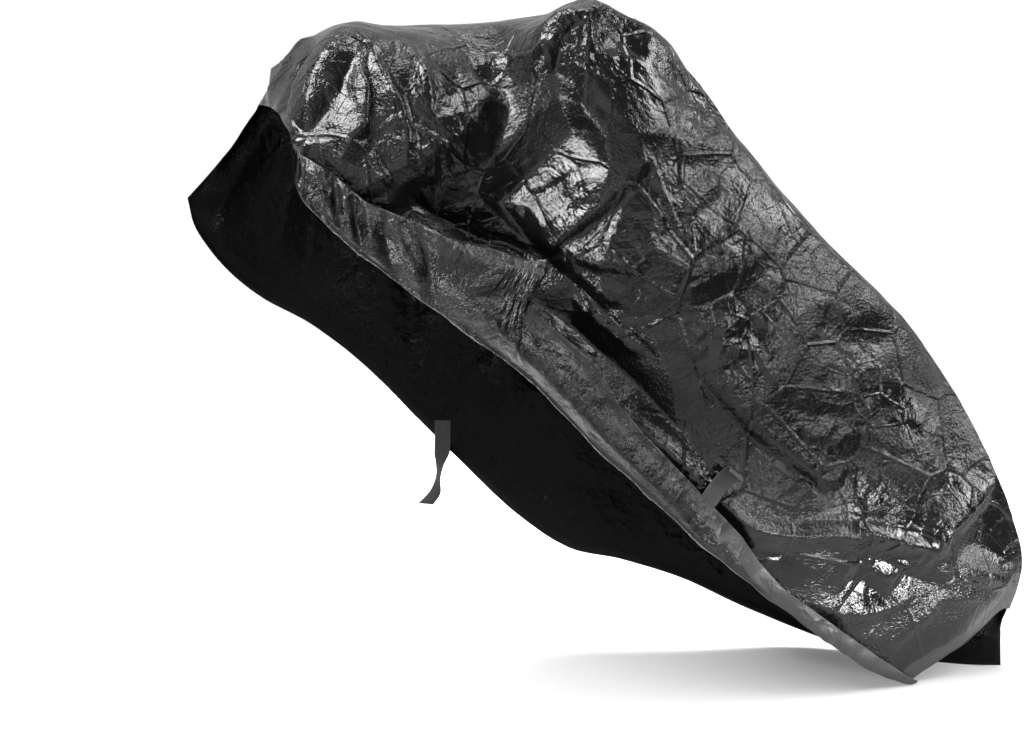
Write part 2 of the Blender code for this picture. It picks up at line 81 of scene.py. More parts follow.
# --- The sheet's lines ------------------------------------------------------------------------
# The cover is one sheet of black polyethylene tape cloth, coated on both sides. It runs from the
# far hem over the spine and down the near side to a fold, then back up outside as a turned-up cuff.
# x runs to the back of the bicycle, y to the far side, and heights are above the floor.
# spine: x, y, height; lip where the top turns down: x, y, height
TOP = np.array([
    (-0.610, 0.060, 1.125, -0.568, -0.100, 1.111),
    (-0.565, 0.060, 1.210, -0.530, -0.120, 1.165),
    (-0.480, 0.060, 1.260, -0.456, -0.130, 1.225),
    (-0.400, 0.070, 1.270, -0.384, -0.120, 1.223),
    (-0.295, 0.070, 1.270, -0.287, -0.110, 1.203),
    (-0.180, 0.060, 1.275, -0.178, -0.100, 1.177),
    (-0.070, 0.040, 1.288, -0.085, -0.130, 1.243),
    (0.000, 0.020, 1.308, -0.015, -0.105, 1.270),
    (0.110, 0.000, 1.248, 0.085, -0.090, 1.222),
    (0.206, 0.000, 1.162, 0.169, -0.050, 1.142),
    (0.317, 0.000, 1.022, 0.274, -0.050, 1.008),
    (0.446, 0.000, 0.883, 0.393, -0.050, 0.868),
    (0.581, 0.000, 0.761, 0.522, -0.050, 0.748),
    (0.699, 0.000, 0.617, 0.638, -0.045, 0.606),
    (0.800, 0.000, 0.453, 0.738, -0.040, 0.448),
    (0.870, 0.000, 0.307, 0.814, -0.035, 0.306),
    (0.896, 0.000, 0.209, 0.848, -0.030, 0.207),
    (0.875, 0.000, 0.119, 0.838, -0.030, 0.123),
])
# near side: y halfway down; fold at its foot: x, y, height
NEAR = np.array([
    (-0.170, -0.518, -0.220, 1.052),
    (-0.200, -0.524, -0.225, 0.983),
    (-0.220, -0.474, -0.220, 0.926),
    (-0.215, -0.422, -0.210, 0.877),
    (-0.200, -0.353, -0.200, 0.821),
    (-0.180, -0.278, -0.195, 0.767),
    (-0.165, -0.195, -0.190, 0.702),
    (-0.165, -0.119, -0.190, 0.640),
    (-0.170, -0.029, -0.190, 0.544),
    (-0.175, 0.061, -0.195, 0.462),
    (-0.175, 0.150, -0.195, 0.374),
    (-0.170, 0.239, -0.190, 0.297),
    (-0.160, 0.329, -0.175, 0.220),
    (-0.145, 0.422, -0.155, 0.146),
    (-0.125, 0.502, -0.130, 0.083),
    (-0.105, 0.571, -0.105, 0.036),
    (-0.090, 0.611, -0.095, 0.017),
    (-0.070, 0.641, -0.085, 0.006),
])
# far side: y halfway down; hem at its foot: x, y, height
FAR = np.array([
    (0.270, -0.802, 0.330, 0.943),
    (0.290, -0.790, 0.340, 0.880),
    (0.290, -0.729, 0.330, 0.796),
    (0.280, -0.653, 0.310, 0.734),
    (0.260, -0.549, 0.290, 0.678),
    (0.240, -0.436, 0.260, 0.594),
    (0.220, -0.324, 0.240, 0.480),
    (0.210, -0.236, 0.220, 0.392),
    (0.200, -0.127, 0.200, 0.286),
    (0.190, -0.012, 0.190, 0.207),
    (0.180, 0.103, 0.180, 0.181),
    (0.170, 0.229, 0.160, 0.144),
    (0.150, 0.356, 0.140, 0.085),
    (0.130, 0.478, 0.120, 0.036),
    (0.100, 0.579, 0.080, 0.008),
    (0.060, 0.673, 0.030, 0.003),
    (0.030, 0.784, -0.010, 0.003),
    (0.010, 0.855, -0.020, 0.003),
])
# width of the cuff turned up at the foot: place in the tables, width; it steps in at a notch. Most of
# the widths follow what a program outside this file measured in the camera's view.
CUFF_WIDTH = np.array([
    (0.0, 0.012), (0.6, 0.060), (1.2, 0.105), (2.0, 0.113), (3.0, 0.108), (4.0, 0.131), (5.0, 0.145),
    (6.0, 0.181), (6.38, 0.200), (6.44, 0.112), (7.0, 0.103), (8.0, 0.113), (8.5, 0.085), (9.0, 0.075),
    (10.0, 0.070), (11.0, 0.053), (11.5, 0.036), (12.0, 0.026), (14.0, 0.027), (15.0, 0.024),
    (16.0, 0.016), (17.0, 0.010),
])
# place of the notch in the tables, how far the cuff's edge leans over it, and the share of that by
# which it leans away after it; each dies out over a reach, in places
NOTCH = 6.41
NOTCH_LEAN = 0.045
LEAN_AWAY = 0.4
REACH_BEFORE, REACH_AFTER = 1.2, 0.8
# the gap under the cuff at its foot, which closes from this place in the tables to the back
CUFF_GAP = 0.014
CUFF_GAP_BACK = 0.008
CUFF_CLOSES = 13
# the far side's lip: share of the way down, share of the way out to the middle, drop, and the depth
# of side at which the drop is whole
FAR_LIP_DOWN = 0.12
FAR_LIP_OUT = 0.55
FAR_LIP_DROP = 0.03
FAR_LIP_DEPTH = 0.3
MIDDLE_DOWN = 0.43
# the front's stations are closer by this share, as far as this place in the tables
FRONT_SHARE = 1.5
FRONT_END = 10


def cubic(a, b, c, d, t):
    """The Catmull-Rom cubic from b (t = 0) to c (t = 1), with a before them and d after."""
    return 0.5 * (2 * b + (c - a) * t + (2 * a - 5 * b + 4 * c - d) * t**2 + (3 * b - 3 * c + d - a) * t**3)


def curve(rows, places):
    """Smooth curve through a table's rows: place 0 is the first row, 1 the second and so on."""
    rows = np.asarray(rows, float)
    places = np.asarray(places, float)
    padded = np.concatenate([2 * rows[:1] - rows[1:2], rows, 2 * rows[-1:] - rows[-2:-1]])
    first = np.clip(np.floor(places).astype(int), 0, len(rows) - 2)
    t = (places - first)[..., None]
    a, b, c, d = (padded[first + step] for step in range(4))
    return cubic(a, b, c, d, t)


def stations(count):
    """Places in the tables that are evenly spaced along the middle of the near side, and closer over
    the front, where the folds are small."""
    fine = np.linspace(0, len(TOP) - 1, 1000)
    middle = (curve(TOP, fine)[:, :3] + curve(NEAR, fine)[:, 1:4]) / 2
    steps = np.linalg.norm(np.diff(middle, axis=0), axis=1) * np.where(fine[1:] < FRONT_END, FRONT_SHARE, 1)
    along = np.concatenate([[0], np.cumsum(steps)])
    return np.interp(np.linspace(0, along[-1], count), along, fine)


def side(place, down, far):
    """Points of one side: a Catmull-Rom curve from the spine (down = 0) over the lip and the middle to
    the foot (down = 1), at each place in the tables."""
    top = curve(TOP, place)
    spine = top[:, :3]
    if far:
        table = curve(FAR, place)
        middle_y, foot = table[:, 0], table[:, 1:4]
        lip = spine + (foot - spine) * FAR_LIP_DOWN
        lip[:, 1] = spine[:, 1] + (middle_y - spine[:, 1]) * FAR_LIP_OUT
        lip[:, 2] = spine[:, 2] - FAR_LIP_DROP * np.minimum(1, (spine[:, 2] - foot[:, 2]) / FAR_LIP_DEPTH)
    else:
        table = curve(NEAR, place)
        middle_y, foot = table[:, 0], table[:, 1:4]
        lip = top[:, 3:6]
    middle = lip + (foot - lip) * MIDDLE_DOWN
    middle[:, 1] = middle_y
    across = 2 * spine - lip
    across[:, 2] = lip[:, 2]
    line = np.stack([across, spine, lip, middle, foot, 2 * foot - middle], 1)
    lengths = np.linalg.norm(np.diff(line[:, 1:5], axis=1), axis=2).mean(0)
    knots = np.concatenate([[0], np.cumsum(lengths)]) / lengths.sum()
    t = np.interp(down, knots, np.arange(4.0))
    first = np.clip(np.floor(t).astype(int), 0, 2)
    t = (t - first)[..., None]
    row = np.arange(len(place))[:, None]
    a, b, c, d = (line[row, first + step] for step in range(4))
    return cubic(a, b, c, d, t)


# --- Folds ------------------------------------------------------------------------------------
# The cloth hangs in large flat facets between sharp creases, with narrow folds across them, because
# it is stiff and has lain folded in a packet. The bicycle's saddle makes the peak, its bar the front
# hump, and the turned-up cuff is crushed most.
# creases of the near side, as points of x, height, and how far out the cloth is. A program outside
# this file worked out and printed x and height, here and in the cuff's creases, from points picked by
# eye in the camera's view. How far out each point is was chosen by hand. How far out each point is
# was given one by one.
NEAR_CREASE_LINES = (
    # outline of the bunched front
    ((-0.568, 1.207, 0.004), (-0.532, 1.223, 0.008), (-0.488, 1.237, 0.012), (-0.447, 1.244, 0.016),
     (-0.412, 1.237, 0.014), (-0.350, 1.239, 0.006), (-0.294, 1.228, 0.002), (-0.226, 1.201, -0.012),
     (-0.178, 1.171, -0.036)),
    # notch to the peak
    ((-0.178, 1.171, -0.036), (-0.146, 1.208, -0.002), (-0.111, 1.237, 0.014), (-0.070, 1.262, 0.024),
     (-0.031, 1.268, 0.032), (0.016, 1.285, 0.008)),
    # edge of the first facet
    ((-0.568, 1.207, 0.004), (-0.539, 1.158, 0.006), (-0.523, 1.115, 0.004), (-0.512, 1.071, -0.004)),
    # small lobe
    ((-0.606, 1.134, 0.000), (-0.584, 1.152, 0.006), (-0.542, 1.160, 0.002)),
    # first pleat
    ((-0.447, 1.244, 0.016), (-0.462, 1.206, 0.020), (-0.482, 1.176, 0.020), (-0.497, 1.125, 0.014),
     (-0.512, 1.071, -0.004)),
    # first valley
    ((-0.430, 1.186, 0.000), (-0.445, 1.158, -0.010), (-0.470, 1.121, -0.014), (-0.493, 1.092, -0.010),
     (-0.511, 1.067, -0.006)),
    # second pleat
    ((-0.412, 1.237, 0.014), (-0.420, 1.172, 0.016), (-0.404, 1.139, 0.022), (-0.409, 1.086, 0.018),
     (-0.434, 1.059, 0.014), (-0.451, 1.026, 0.006)),
    # second facet
    ((-0.430, 1.186, 0.000), (-0.431, 1.122, 0.002), (-0.444, 1.095, 0.000), (-0.463, 1.059, 0.000)),
    # second valley
    ((-0.412, 1.237, 0.014), (-0.407, 1.176, 0.004), (-0.398, 1.132, -0.004), (-0.401, 1.065, -0.008),
     (-0.398, 1.036, -0.006)),
    # third pleat
    ((-0.412, 1.237, 0.014), (-0.397, 1.193, 0.018), (-0.373, 1.152, 0.020), (-0.352, 1.119, 0.022),
     (-0.341, 1.076, 0.020), (-0.343, 1.019, 0.012), (-0.357, 0.978, -0.010)),
    # third facet
    ((-0.398, 1.132, -0.004), (-0.377, 1.105, 0.006), (-0.356, 1.086, 0.010), (-0.376, 1.066, -0.004),
     (-0.394, 1.036, -0.002), (-0.376, 1.003, 0.006), (-0.357, 0.978, -0.010)),
    # third valley
    ((-0.397, 1.193, 0.018), (-0.364, 1.173, 0.004), (-0.344, 1.143, 0.000), (-0.330, 1.099, -0.004),
     (-0.318, 1.059, -0.002)),
    # narrow crinkle
    ((-0.350, 1.232, 0.006), (-0.327, 1.189, 0.008), (-0.308, 1.177, 0.012), (-0.309, 1.138, 0.010),
     (-0.300, 1.107, 0.004)),
    # beside the crinkle
    ((-0.314, 1.221, 0.002), (-0.281, 1.182, -0.004), (-0.279, 1.137, -0.006), (-0.285, 1.106, -0.002)),
    # fourth facet
    ((-0.300, 1.107, 0.004), (-0.272, 1.099, 0.008), (-0.289, 1.045, 0.002), (-0.318, 1.059, -0.002)),
    # lip of the hollow
    ((-0.357, 0.978, -0.010), (-0.321, 1.005, 0.002), (-0.289, 1.045, 0.004), (-0.262, 1.062, 0.006),
     (-0.219, 1.107, 0.004), (-0.194, 1.141, -0.006), (-0.178, 1.171, -0.036)),
    # hollow
    ((-0.178, 1.171, -0.036), (-0.172, 1.132, -0.042), (-0.178, 1.088, -0.044), (-0.187, 1.045, -0.042)),
    # hollow floor
    ((-0.357, 0.978, -0.010), (-0.319, 0.952, -0.052), (-0.271, 0.923, -0.070),
     (-0.216, 0.895, -0.076), (-0.154, 0.873, -0.070), (-0.096, 0.860, -0.052)),
    # star left
    ((-0.187, 1.045, -0.042), (-0.214, 1.025, -0.042), (-0.239, 1.010, -0.042),
     (-0.263, 0.995, -0.044), (-0.310, 0.979, -0.034), (-0.357, 0.978, -0.010)),
    # star low
    ((-0.239, 1.010, -0.042), (-0.206, 0.969, -0.046), (-0.167, 0.922, -0.054), (-0.111, 0.869, -0.056)),
    # star wall
    ((-0.034, 1.146, 0.018), (-0.071, 1.137, -0.018), (-0.106, 1.108, -0.034), (-0.143, 1.076, -0.040),
     (-0.173, 1.052, -0.042), (-0.187, 1.045, -0.042)),
    # peak crease
    ((-0.031, 1.268, 0.032), (-0.034, 1.202, 0.027), (-0.034, 1.146, 0.018), (-0.035, 1.121, 0.014),
     (-0.022, 1.101, 0.010), (0.004, 1.065, 0.008)),
    # edge of the bright facets
    ((0.004, 1.065, 0.008), (-0.019, 1.078, -0.018), (-0.042, 1.080, -0.040), (-0.092, 1.033, -0.058),
     (-0.131, 0.991, -0.064), (-0.165, 0.954, -0.066), (-0.135, 0.904, -0.064), (-0.096, 0.860, -0.054)),
    # first bright facet
    ((0.004, 1.065, 0.008), (0.012, 1.008, 0.014), (-0.000, 0.950, 0.016), (-0.048, 0.913, 0.012),
     (-0.089, 0.880, -0.004), (-0.096, 0.860, -0.052)),
    # face of the first bright facet
    ((-0.092, 1.033, -0.058), (-0.082, 0.993, -0.038), (-0.064, 0.952, -0.014), (-0.048, 0.913, 0.004)),
    # foot of that face
    ((-0.131, 0.991, -0.060), (-0.124, 0.946, -0.040), (-0.107, 0.911, -0.016), (-0.089, 0.880, -0.004)),
    # between the facets
    ((-0.096, 0.860, -0.052), (-0.071, 0.879, -0.014), (-0.040, 0.897, -0.008), (0.003, 0.929, -0.002),
     (0.050, 0.966, 0.004), (0.092, 1.011, 0.008), (0.132, 1.064, 0.012)),
    # second bright facet
    ((-0.071, 0.879, -0.014), (-0.050, 0.862, 0.012), (-0.004, 0.844, 0.032), (0.057, 0.837, 0.028),
     (0.081, 0.872, 0.024), (0.086, 0.931, 0.014), (0.092, 1.011, 0.008)),
    # inside it
    ((0.003, 0.929, -0.002), (0.017, 0.901, 0.018), (0.057, 0.837, 0.028)),
    # under the facets
    ((-0.096, 0.860, -0.052), (-0.074, 0.848, -0.016), (-0.005, 0.830, 0.002), (0.067, 0.812, 0.008),
     (0.158, 0.827, 0.010), (0.224, 0.822, 0.004)),
    # fan
    ((-0.004, 0.770, -0.026), (0.039, 0.777, -0.006), (0.094, 0.788, 0.006), (0.158, 0.800, 0.008),
     (0.224, 0.822, 0.004)),
    # long trough
    ((-0.096, 0.860, -0.052), (-0.048, 0.816, -0.034), (-0.004, 0.770, -0.026), (0.046, 0.731, -0.018),
     (0.098, 0.690, -0.014), (0.127, 0.643, -0.012), (0.177, 0.606, -0.010), (0.200, 0.600, -0.012)),
    # beside the trough
    ((-0.035, 0.827, -0.008), (0.011, 0.784, -0.004), (-0.004, 0.770, -0.026)),
    # trough wedge
    ((-0.004, 0.770, -0.026), (0.068, 0.752, -0.014), (0.158, 0.762, -0.004), (0.267, 0.760, 0.004)),
    # second trough
    ((0.176, 0.664, -0.008), (0.178, 0.632, -0.010), (0.205, 0.599, -0.014), (0.254, 0.547, -0.014),
     (0.309, 0.501, -0.014), (0.351, 0.483, -0.010), (0.388, 0.447, -0.012), (0.430, 0.400, -0.002)),
    # facet beyond the trough
    ((0.176, 0.664, -0.008), (0.213, 0.700, 0.002), (0.267, 0.760, 0.004)),
    # low wedge
    ((0.046, 0.731, -0.018), (0.104, 0.712, -0.006), (0.159, 0.690, -0.004), (0.176, 0.664, -0.008)),
    # above the second trough
    ((0.204, 0.627, 0.000), (0.256, 0.579, 0.006), (0.316, 0.525, 0.008), (0.370, 0.489, 0.004),
     (0.431, 0.441, 0.004)),
    # hollow along the cuff
    ((-0.119, 0.785, -0.044), (-0.047, 0.731, -0.058), (0.015, 0.674, -0.060), (0.078, 0.614, -0.054),
     (0.143, 0.545, -0.034), (0.201, 0.474, -0.014)),
    # crest by the cuff
    ((0.071, 0.561, -0.012), (0.115, 0.519, 0.002), (0.163, 0.474, 0.006), (0.205, 0.435, 0.002)),
    # level crease
    ((0.004, 1.065, 0.014), (0.064, 1.069, 0.014), (0.132, 1.064, 0.012), (0.170, 1.052, 0.012),
     (0.224, 1.041, 0.006)),
    # top crease
    ((0.084, 1.195, 0.004), (0.133, 1.173, 0.002), (0.183, 1.148, -0.006), (0.233, 1.114, -0.012),
     (0.270, 1.081, -0.008), (0.295, 1.049, -0.002)),
    # roll
    ((0.095, 1.258, 0.006), (0.138, 1.224, 0.006), (0.188, 1.181, -0.004), (0.217, 1.150, -0.002),
     (0.244, 1.116, -0.004)),
    # peak valley
    ((0.011, 1.290, 0.006), (0.029, 1.256, -0.002), (0.040, 1.233, -0.006), (0.058, 1.247, -0.002),
     (0.073, 1.268, 0.004)),
    # plumb crease
    ((0.144, 1.057, 0.012), (0.140, 1.017, 0.004), (0.138, 0.973, 0.006)),
    # plumb facet
    ((0.224, 1.041, 0.006), (0.188, 1.016, -0.002), (0.212, 0.988, 0.008), (0.229, 0.951, -0.002),
     (0.258, 0.922, 0.006)),
    # plumb valley
    ((0.224, 1.041, 0.006), (0.234, 0.997, -0.004), (0.229, 0.951, -0.002), (0.229, 0.895, 0.006),
     (0.224, 0.822, 0.004)),
    # right light facet
    ((0.247, 1.055, 0.002), (0.292, 1.015, -0.004), (0.322, 0.959, 0.006)),
    # fan dents
    ((0.071, 1.018, 0.014), (0.091, 0.975, 0.004), (0.122, 0.947, 0.008), (0.153, 0.913, 0.002)),
    # fan dents low
    ((0.091, 0.975, 0.004), (0.109, 0.933, 0.008), (0.126, 0.888, 0.002)),
    # level packing crease
    ((0.229, 0.895, 0.006), (0.286, 0.891, 0.008), (0.372, 0.878, 0.004)),
    # plumb packing crease
    ((0.286, 0.891, 0.008), (0.281, 0.844, 0.006), (0.303, 0.818, -0.002)),
    # short trough
    ((0.224, 0.822, 0.004), (0.247, 0.793, -0.010), (0.269, 0.764, -0.016), (0.285, 0.728, -0.014),
     (0.293, 0.696, 0.000)),
    # diamond
    ((0.224, 0.822, 0.004), (0.303, 0.818, -0.002), (0.361, 0.786, 0.002), (0.367, 0.741, 0.008),
     (0.312, 0.722, 0.002), (0.293, 0.696, 0.000)),
    # level back
    ((0.367, 0.741, 0.008), (0.440, 0.714, -0.002), (0.505, 0.683, -0.008), (0.574, 0.692, 0.002),
     (0.619, 0.719, 0.006)),
    # upper back
    ((0.383, 0.941, 0.000), (0.439, 0.866, 0.004), (0.521, 0.799, 0.006), (0.619, 0.719, 0.006)),
    # mid back
    ((0.361, 0.786, 0.002), (0.434, 0.767, 0.008), (0.488, 0.732, 0.004), (0.536, 0.739, 0.008)),
    # under the short trough
    ((0.293, 0.696, 0.000), (0.315, 0.619, 0.006), (0.370, 0.576, -0.002), (0.395, 0.604, 0.004),
     (0.470, 0.673, -0.006)),
    # down the back
    ((0.505, 0.683, -0.008), (0.493, 0.628, 0.004), (0.500, 0.549, -0.004)),
    # low back
    ((0.370, 0.576, -0.002), (0.500, 0.549, -0.004), (0.632, 0.504, 0.008), (0.710, 0.445, -0.004),
     (0.811, 0.403, 0.012)),
    # high low back
    ((0.528, 0.643, 0.002), (0.590, 0.597, 0.008), (0.700, 0.562, -0.002)),
    # middle low back
    ((0.427, 0.441, 0.004), (0.495, 0.474, -0.006), (0.579, 0.443, 0.006), (0.666, 0.440, 0.008),
     (0.710, 0.445, -0.004)),
    # hem fold
    ((0.224, 0.414, 0.010), (0.250, 0.387, 0.016), (0.280, 0.366, 0.018), (0.315, 0.351, 0.018),
     (0.378, 0.341, 0.016), (0.436, 0.341, 0.018), (0.493, 0.327, 0.016), (0.510, 0.338, 0.020),
     (0.550, 0.325, 0.020), (0.645, 0.291, 0.016), (0.678, 0.268, 0.008)),
    # over the hem fold
    ((0.238, 0.431, 0.002), (0.282, 0.391, 0.004), (0.329, 0.373, 0.002), (0.376, 0.366, 0.000),
     (0.475, 0.360, 0.002), (0.581, 0.348, 0.004), (0.631, 0.314, 0.006)),
    # over it, facet
    ((0.280, 0.441, -0.004), (0.313, 0.408, 0.002), (0.389, 0.435, 0.006)),
    # corner ridge
    ((0.645, 0.291, 0.014), (0.691, 0.325, 0.020), (0.745, 0.355, 0.022), (0.810, 0.398, 0.012)),
    # behind the corner ridge
    ((0.678, 0.268, 0.008), (0.726, 0.305, -0.008), (0.800, 0.348, -0.004)),
    # under the hem fold
    ((0.285, 0.322, 0.002), (0.360, 0.301, -0.002), (0.431, 0.312, 0.000), (0.479, 0.309, 0.002),
     (0.508, 0.299, -0.012)),
    # first low facet
    ((0.459, 0.209, -0.002), (0.479, 0.231, -0.010), (0.505, 0.249, -0.016), (0.536, 0.214, -0.008),
     (0.566, 0.188, -0.004)),
    # second low facet
    ((0.507, 0.260, -0.014), (0.527, 0.269, -0.006), (0.559, 0.243, 0.000), (0.569, 0.220, -0.002),
     (0.566, 0.188, -0.004), (0.507, 0.260, -0.014)),
    # third low facet
    ((0.571, 0.181, 0.002), (0.584, 0.218, -0.010), (0.598, 0.248, -0.016), (0.636, 0.230, -0.012),
     (0.599, 0.185, 0.004), (0.571, 0.181, 0.002)),
    # under the low facets
    ((0.459, 0.209, -0.002), (0.465, 0.177, 0.008), (0.524, 0.171, 0.009), (0.567, 0.180, 0.006),
     (0.599, 0.185, 0.004)),
    # streak
    ((0.700, 0.198, 0.004), (0.669, 0.176, 0.008), (0.631, 0.141, 0.008), (0.590, 0.100, 0.004)),
    # left of the corner ridge
    ((0.602, 0.330, 0.000), (0.645, 0.374, -0.002), (0.700, 0.409, 0.000)),
    # foot of the corner ridge
    ((0.624, 0.311, 0.010), (0.665, 0.349, 0.014), (0.719, 0.384, 0.015), (0.784, 0.427, 0.006)),
    # third facet of the star
    ((0.508, 0.299, -0.012), (0.551, 0.283, -0.008), (0.591, 0.250, 0.000), (0.559, 0.243, 0.003),
     (0.527, 0.269, -0.004), (0.508, 0.299, -0.012)),
    # ground under the star
    ((0.465, 0.177, 0.008), (0.494, 0.142, 0.000), (0.556, 0.145, -0.002), (0.609, 0.169, -0.002),
     (0.640, 0.192, -0.002), (0.636, 0.230, -0.012)),
    # under the streak
    ((0.710, 0.180, 0.006), (0.677, 0.158, 0.007), (0.643, 0.126, 0.005), (0.605, 0.090, 0.002)),
    # bright facet at the corner
    ((0.717, 0.260, -0.004), (0.754, 0.277, -0.014), (0.791, 0.270, -0.013), (0.830, 0.254, -0.010),
     (0.838, 0.193, 0.014), (0.787, 0.214, 0.013), (0.735, 0.250, 0.002), (0.717, 0.260, -0.004)),
    # under the corner facet
    ((0.678, 0.268, 0.008), (0.717, 0.230, 0.002), (0.788, 0.186, 0.000), (0.830, 0.162, 0.000)),
    # wall beside the ridge
    ((-0.031, 1.268, 0.032), (-0.056, 1.251, 0.010), (-0.072, 1.219, -0.008), (-0.078, 1.175, -0.016),
     (-0.071, 1.137, -0.018)),
    # beside the peak ridge
    ((-0.019, 1.273, 0.024), (-0.015, 1.201, 0.024), (-0.015, 1.149, 0.020), (-0.022, 1.125, 0.014),
     (0.004, 1.065, 0.008)),
    # foot
    ((0.385, 0.211, 0.000), (0.495, 0.116, 0.000), (0.587, 0.072, 0.000), (0.682, 0.162, 0.000)),
)
# the same for the cuff
CUFF_CREASE_LINES = (
    # free edge
    ((-0.497, 1.059, 0.000), (-0.460, 1.026, 0.000), (-0.423, 0.993, 0.000), (-0.367, 0.967, 0.000),
     (-0.311, 0.938, 0.000), (-0.252, 0.906, 0.000), (-0.180, 0.884, 0.000), (-0.108, 0.859, 0.000)),
    # first flap
    ((-0.497, 1.059, 0.000), (-0.484, 1.000, 0.016), (-0.470, 0.922, 0.008)),
    # beside it
    ((-0.478, 1.043, 0.000), (-0.463, 0.977, -0.006), (-0.451, 0.903, 0.000)),
    # second flap
    ((-0.460, 1.026, 0.000), (-0.447, 0.963, 0.014), (-0.433, 0.887, 0.006)),
    # beside it
    ((-0.442, 1.010, 0.000), (-0.434, 0.951, -0.008), (-0.419, 0.874, 0.000)),
    # third flap
    ((-0.423, 0.993, 0.000), (-0.407, 0.925, 0.018), (-0.395, 0.863, 0.010)),
    # beside it
    ((-0.402, 0.976, 0.000), (-0.384, 0.918, -0.002), (-0.368, 0.842, 0.000)),
    # fourth flap
    ((-0.372, 0.969, 0.000), (-0.353, 0.900, 0.014), (-0.332, 0.855, 0.018), (-0.319, 0.796, 0.008)),
    # beside it
    ((-0.345, 0.955, 0.000), (-0.319, 0.900, -0.004), (-0.306, 0.855, 0.000), (-0.293, 0.782, 0.000)),
    # streak
    ((-0.311, 0.938, 0.000), (-0.285, 0.893, 0.014), (-0.233, 0.861, 0.018), (-0.181, 0.850, 0.018),
     (-0.138, 0.842, 0.014), (-0.108, 0.859, 0.002)),
    # above the streak
    ((-0.285, 0.917, 0.000), (-0.216, 0.879, 0.000), (-0.145, 0.864, 0.000)),
    # crest
    ((-0.299, 0.841, 0.010), (-0.246, 0.798, 0.026), (-0.184, 0.733, 0.032), (-0.119, 0.665, 0.032),
     (-0.053, 0.598, 0.028), (0.013, 0.532, 0.024), (0.090, 0.454, 0.016), (0.184, 0.346, 0.010),
     (0.265, 0.275, 0.006)),
    # below the crest
    ((-0.269, 0.767, 0.002), (-0.202, 0.708, 0.003), (-0.107, 0.628, 0.003), (-0.019, 0.534, 0.002),
     (0.076, 0.447, 0.002), (0.171, 0.355, 0.002)),
    # hem line
    ((-0.172, 0.799, 0.002), (-0.145, 0.775, 0.002), (-0.074, 0.707, 0.003), (-0.010, 0.630, 0.004),
     (0.013, 0.587, 0.006), (0.080, 0.514, 0.006), (0.175, 0.418, 0.006)),
)
# narrow folds of the near side: how far a fold stands out, less than nothing for a trough, its width
# to the left and to the right of its line, and the line as points of x, height. The lines of the last
# 14 rows were printed by the same program as the creases.
NEAR_FOLDS = (
    (0.006, 0.008, 0.008, ((-0.350, 1.230), (-0.326, 1.197), (-0.305, 1.160), (-0.295, 1.105))),
    (0.010, 0.012, 0.012, ((-0.403, 1.045), (-0.385, 1.013), (-0.362, 0.980))),
    (-0.008, 0.009, 0.009, ((-0.090, 0.856), (-0.027, 0.795), (0.025, 0.742), (0.080, 0.698),
     (0.110, 0.664))),
    (0.008, 0.010, 0.010, ((-0.030, 0.772), (0.022, 0.722), (0.078, 0.676))),
    (-0.006, 0.008, 0.008, ((0.176, 0.655), (0.190, 0.625), (0.240, 0.570), (0.308, 0.503),
     (0.390, 0.443), (0.425, 0.405))),
    (-0.006, 0.008, 0.008, ((0.225, 0.821), (0.262, 0.775), (0.280, 0.740), (0.291, 0.700))),
    (0.006, 0.008, 0.008, ((0.270, 0.700), (0.300, 0.660), (0.322, 0.615))),
    (0.005, 0.008, 0.008, ((0.360, 0.580), (0.405, 0.635), (0.442, 0.680))),
    (0.006, 0.008, 0.008, ((0.450, 0.690), (0.490, 0.670), (0.530, 0.700))),
    (0.005, 0.008, 0.008, ((0.465, 0.655), (0.475, 0.600), (0.480, 0.560))),
    (0.006, 0.010, 0.008, ((0.020, 1.067), (0.073, 1.070), (0.135, 1.064))),
    (0.006, 0.008, 0.008, ((0.145, 1.058), (0.146, 1.015), (0.142, 0.968))),
    (0.006, 0.008, 0.008, ((0.225, 0.900), (0.262, 0.898), (0.275, 0.896))),
    (0.006, 0.008, 0.008, ((0.276, 0.893), (0.278, 0.860), (0.282, 0.838))),
    (0.007, 0.009, 0.006, ((0.224, 0.414), (0.251, 0.388), (0.278, 0.368), (0.315, 0.353),
     (0.377, 0.342), (0.437, 0.343), (0.494, 0.329))),
    (0.007, 0.009, 0.006, ((0.481, 0.328), (0.509, 0.340), (0.550, 0.326), (0.593, 0.310), (0.649, 0.291))),
    (0.005, 0.007, 0.005, ((0.483, 0.309), (0.542, 0.287), (0.597, 0.262), (0.641, 0.246))),
    (0.006, 0.008, 0.006, ((0.653, 0.298), (0.692, 0.327), (0.744, 0.353), (0.810, 0.398))),
    (0.005, 0.006, 0.005, ((0.271, 0.708), (0.296, 0.660), (0.329, 0.607))),
    (0.005, 0.006, 0.005, ((0.370, 0.576), (0.416, 0.626), (0.471, 0.677))),
    (0.005, 0.006, 0.005, ((0.077, 1.045), (0.114, 0.949), (0.142, 0.889))),
    (0.012, 0.014, 0.010, ((-0.495, 1.234), (-0.532, 1.207), (-0.564, 1.165), (-0.587, 1.127))),
    (-0.010, 0.010, 0.012, ((-0.484, 1.216), (-0.520, 1.178), (-0.547, 1.134), (-0.555, 1.097))),
    (0.010, 0.012, 0.010, ((-0.535, 1.199), (-0.572, 1.189), (-0.596, 1.157))),
    (-0.008, 0.010, 0.010, ((-0.532, 1.223), (-0.562, 1.196))),
    (-0.006, 0.009, 0.009, ((-0.135, 0.959), (-0.088, 0.980), (-0.038, 1.008), (0.001, 1.018))),
    (0.005, 0.009, 0.009, ((-0.105, 0.914), (-0.065, 0.947), (-0.007, 0.976))),
    (-0.005, 0.009, 0.009, ((-0.059, 1.045), (-0.040, 1.007), (-0.033, 0.955))),
)
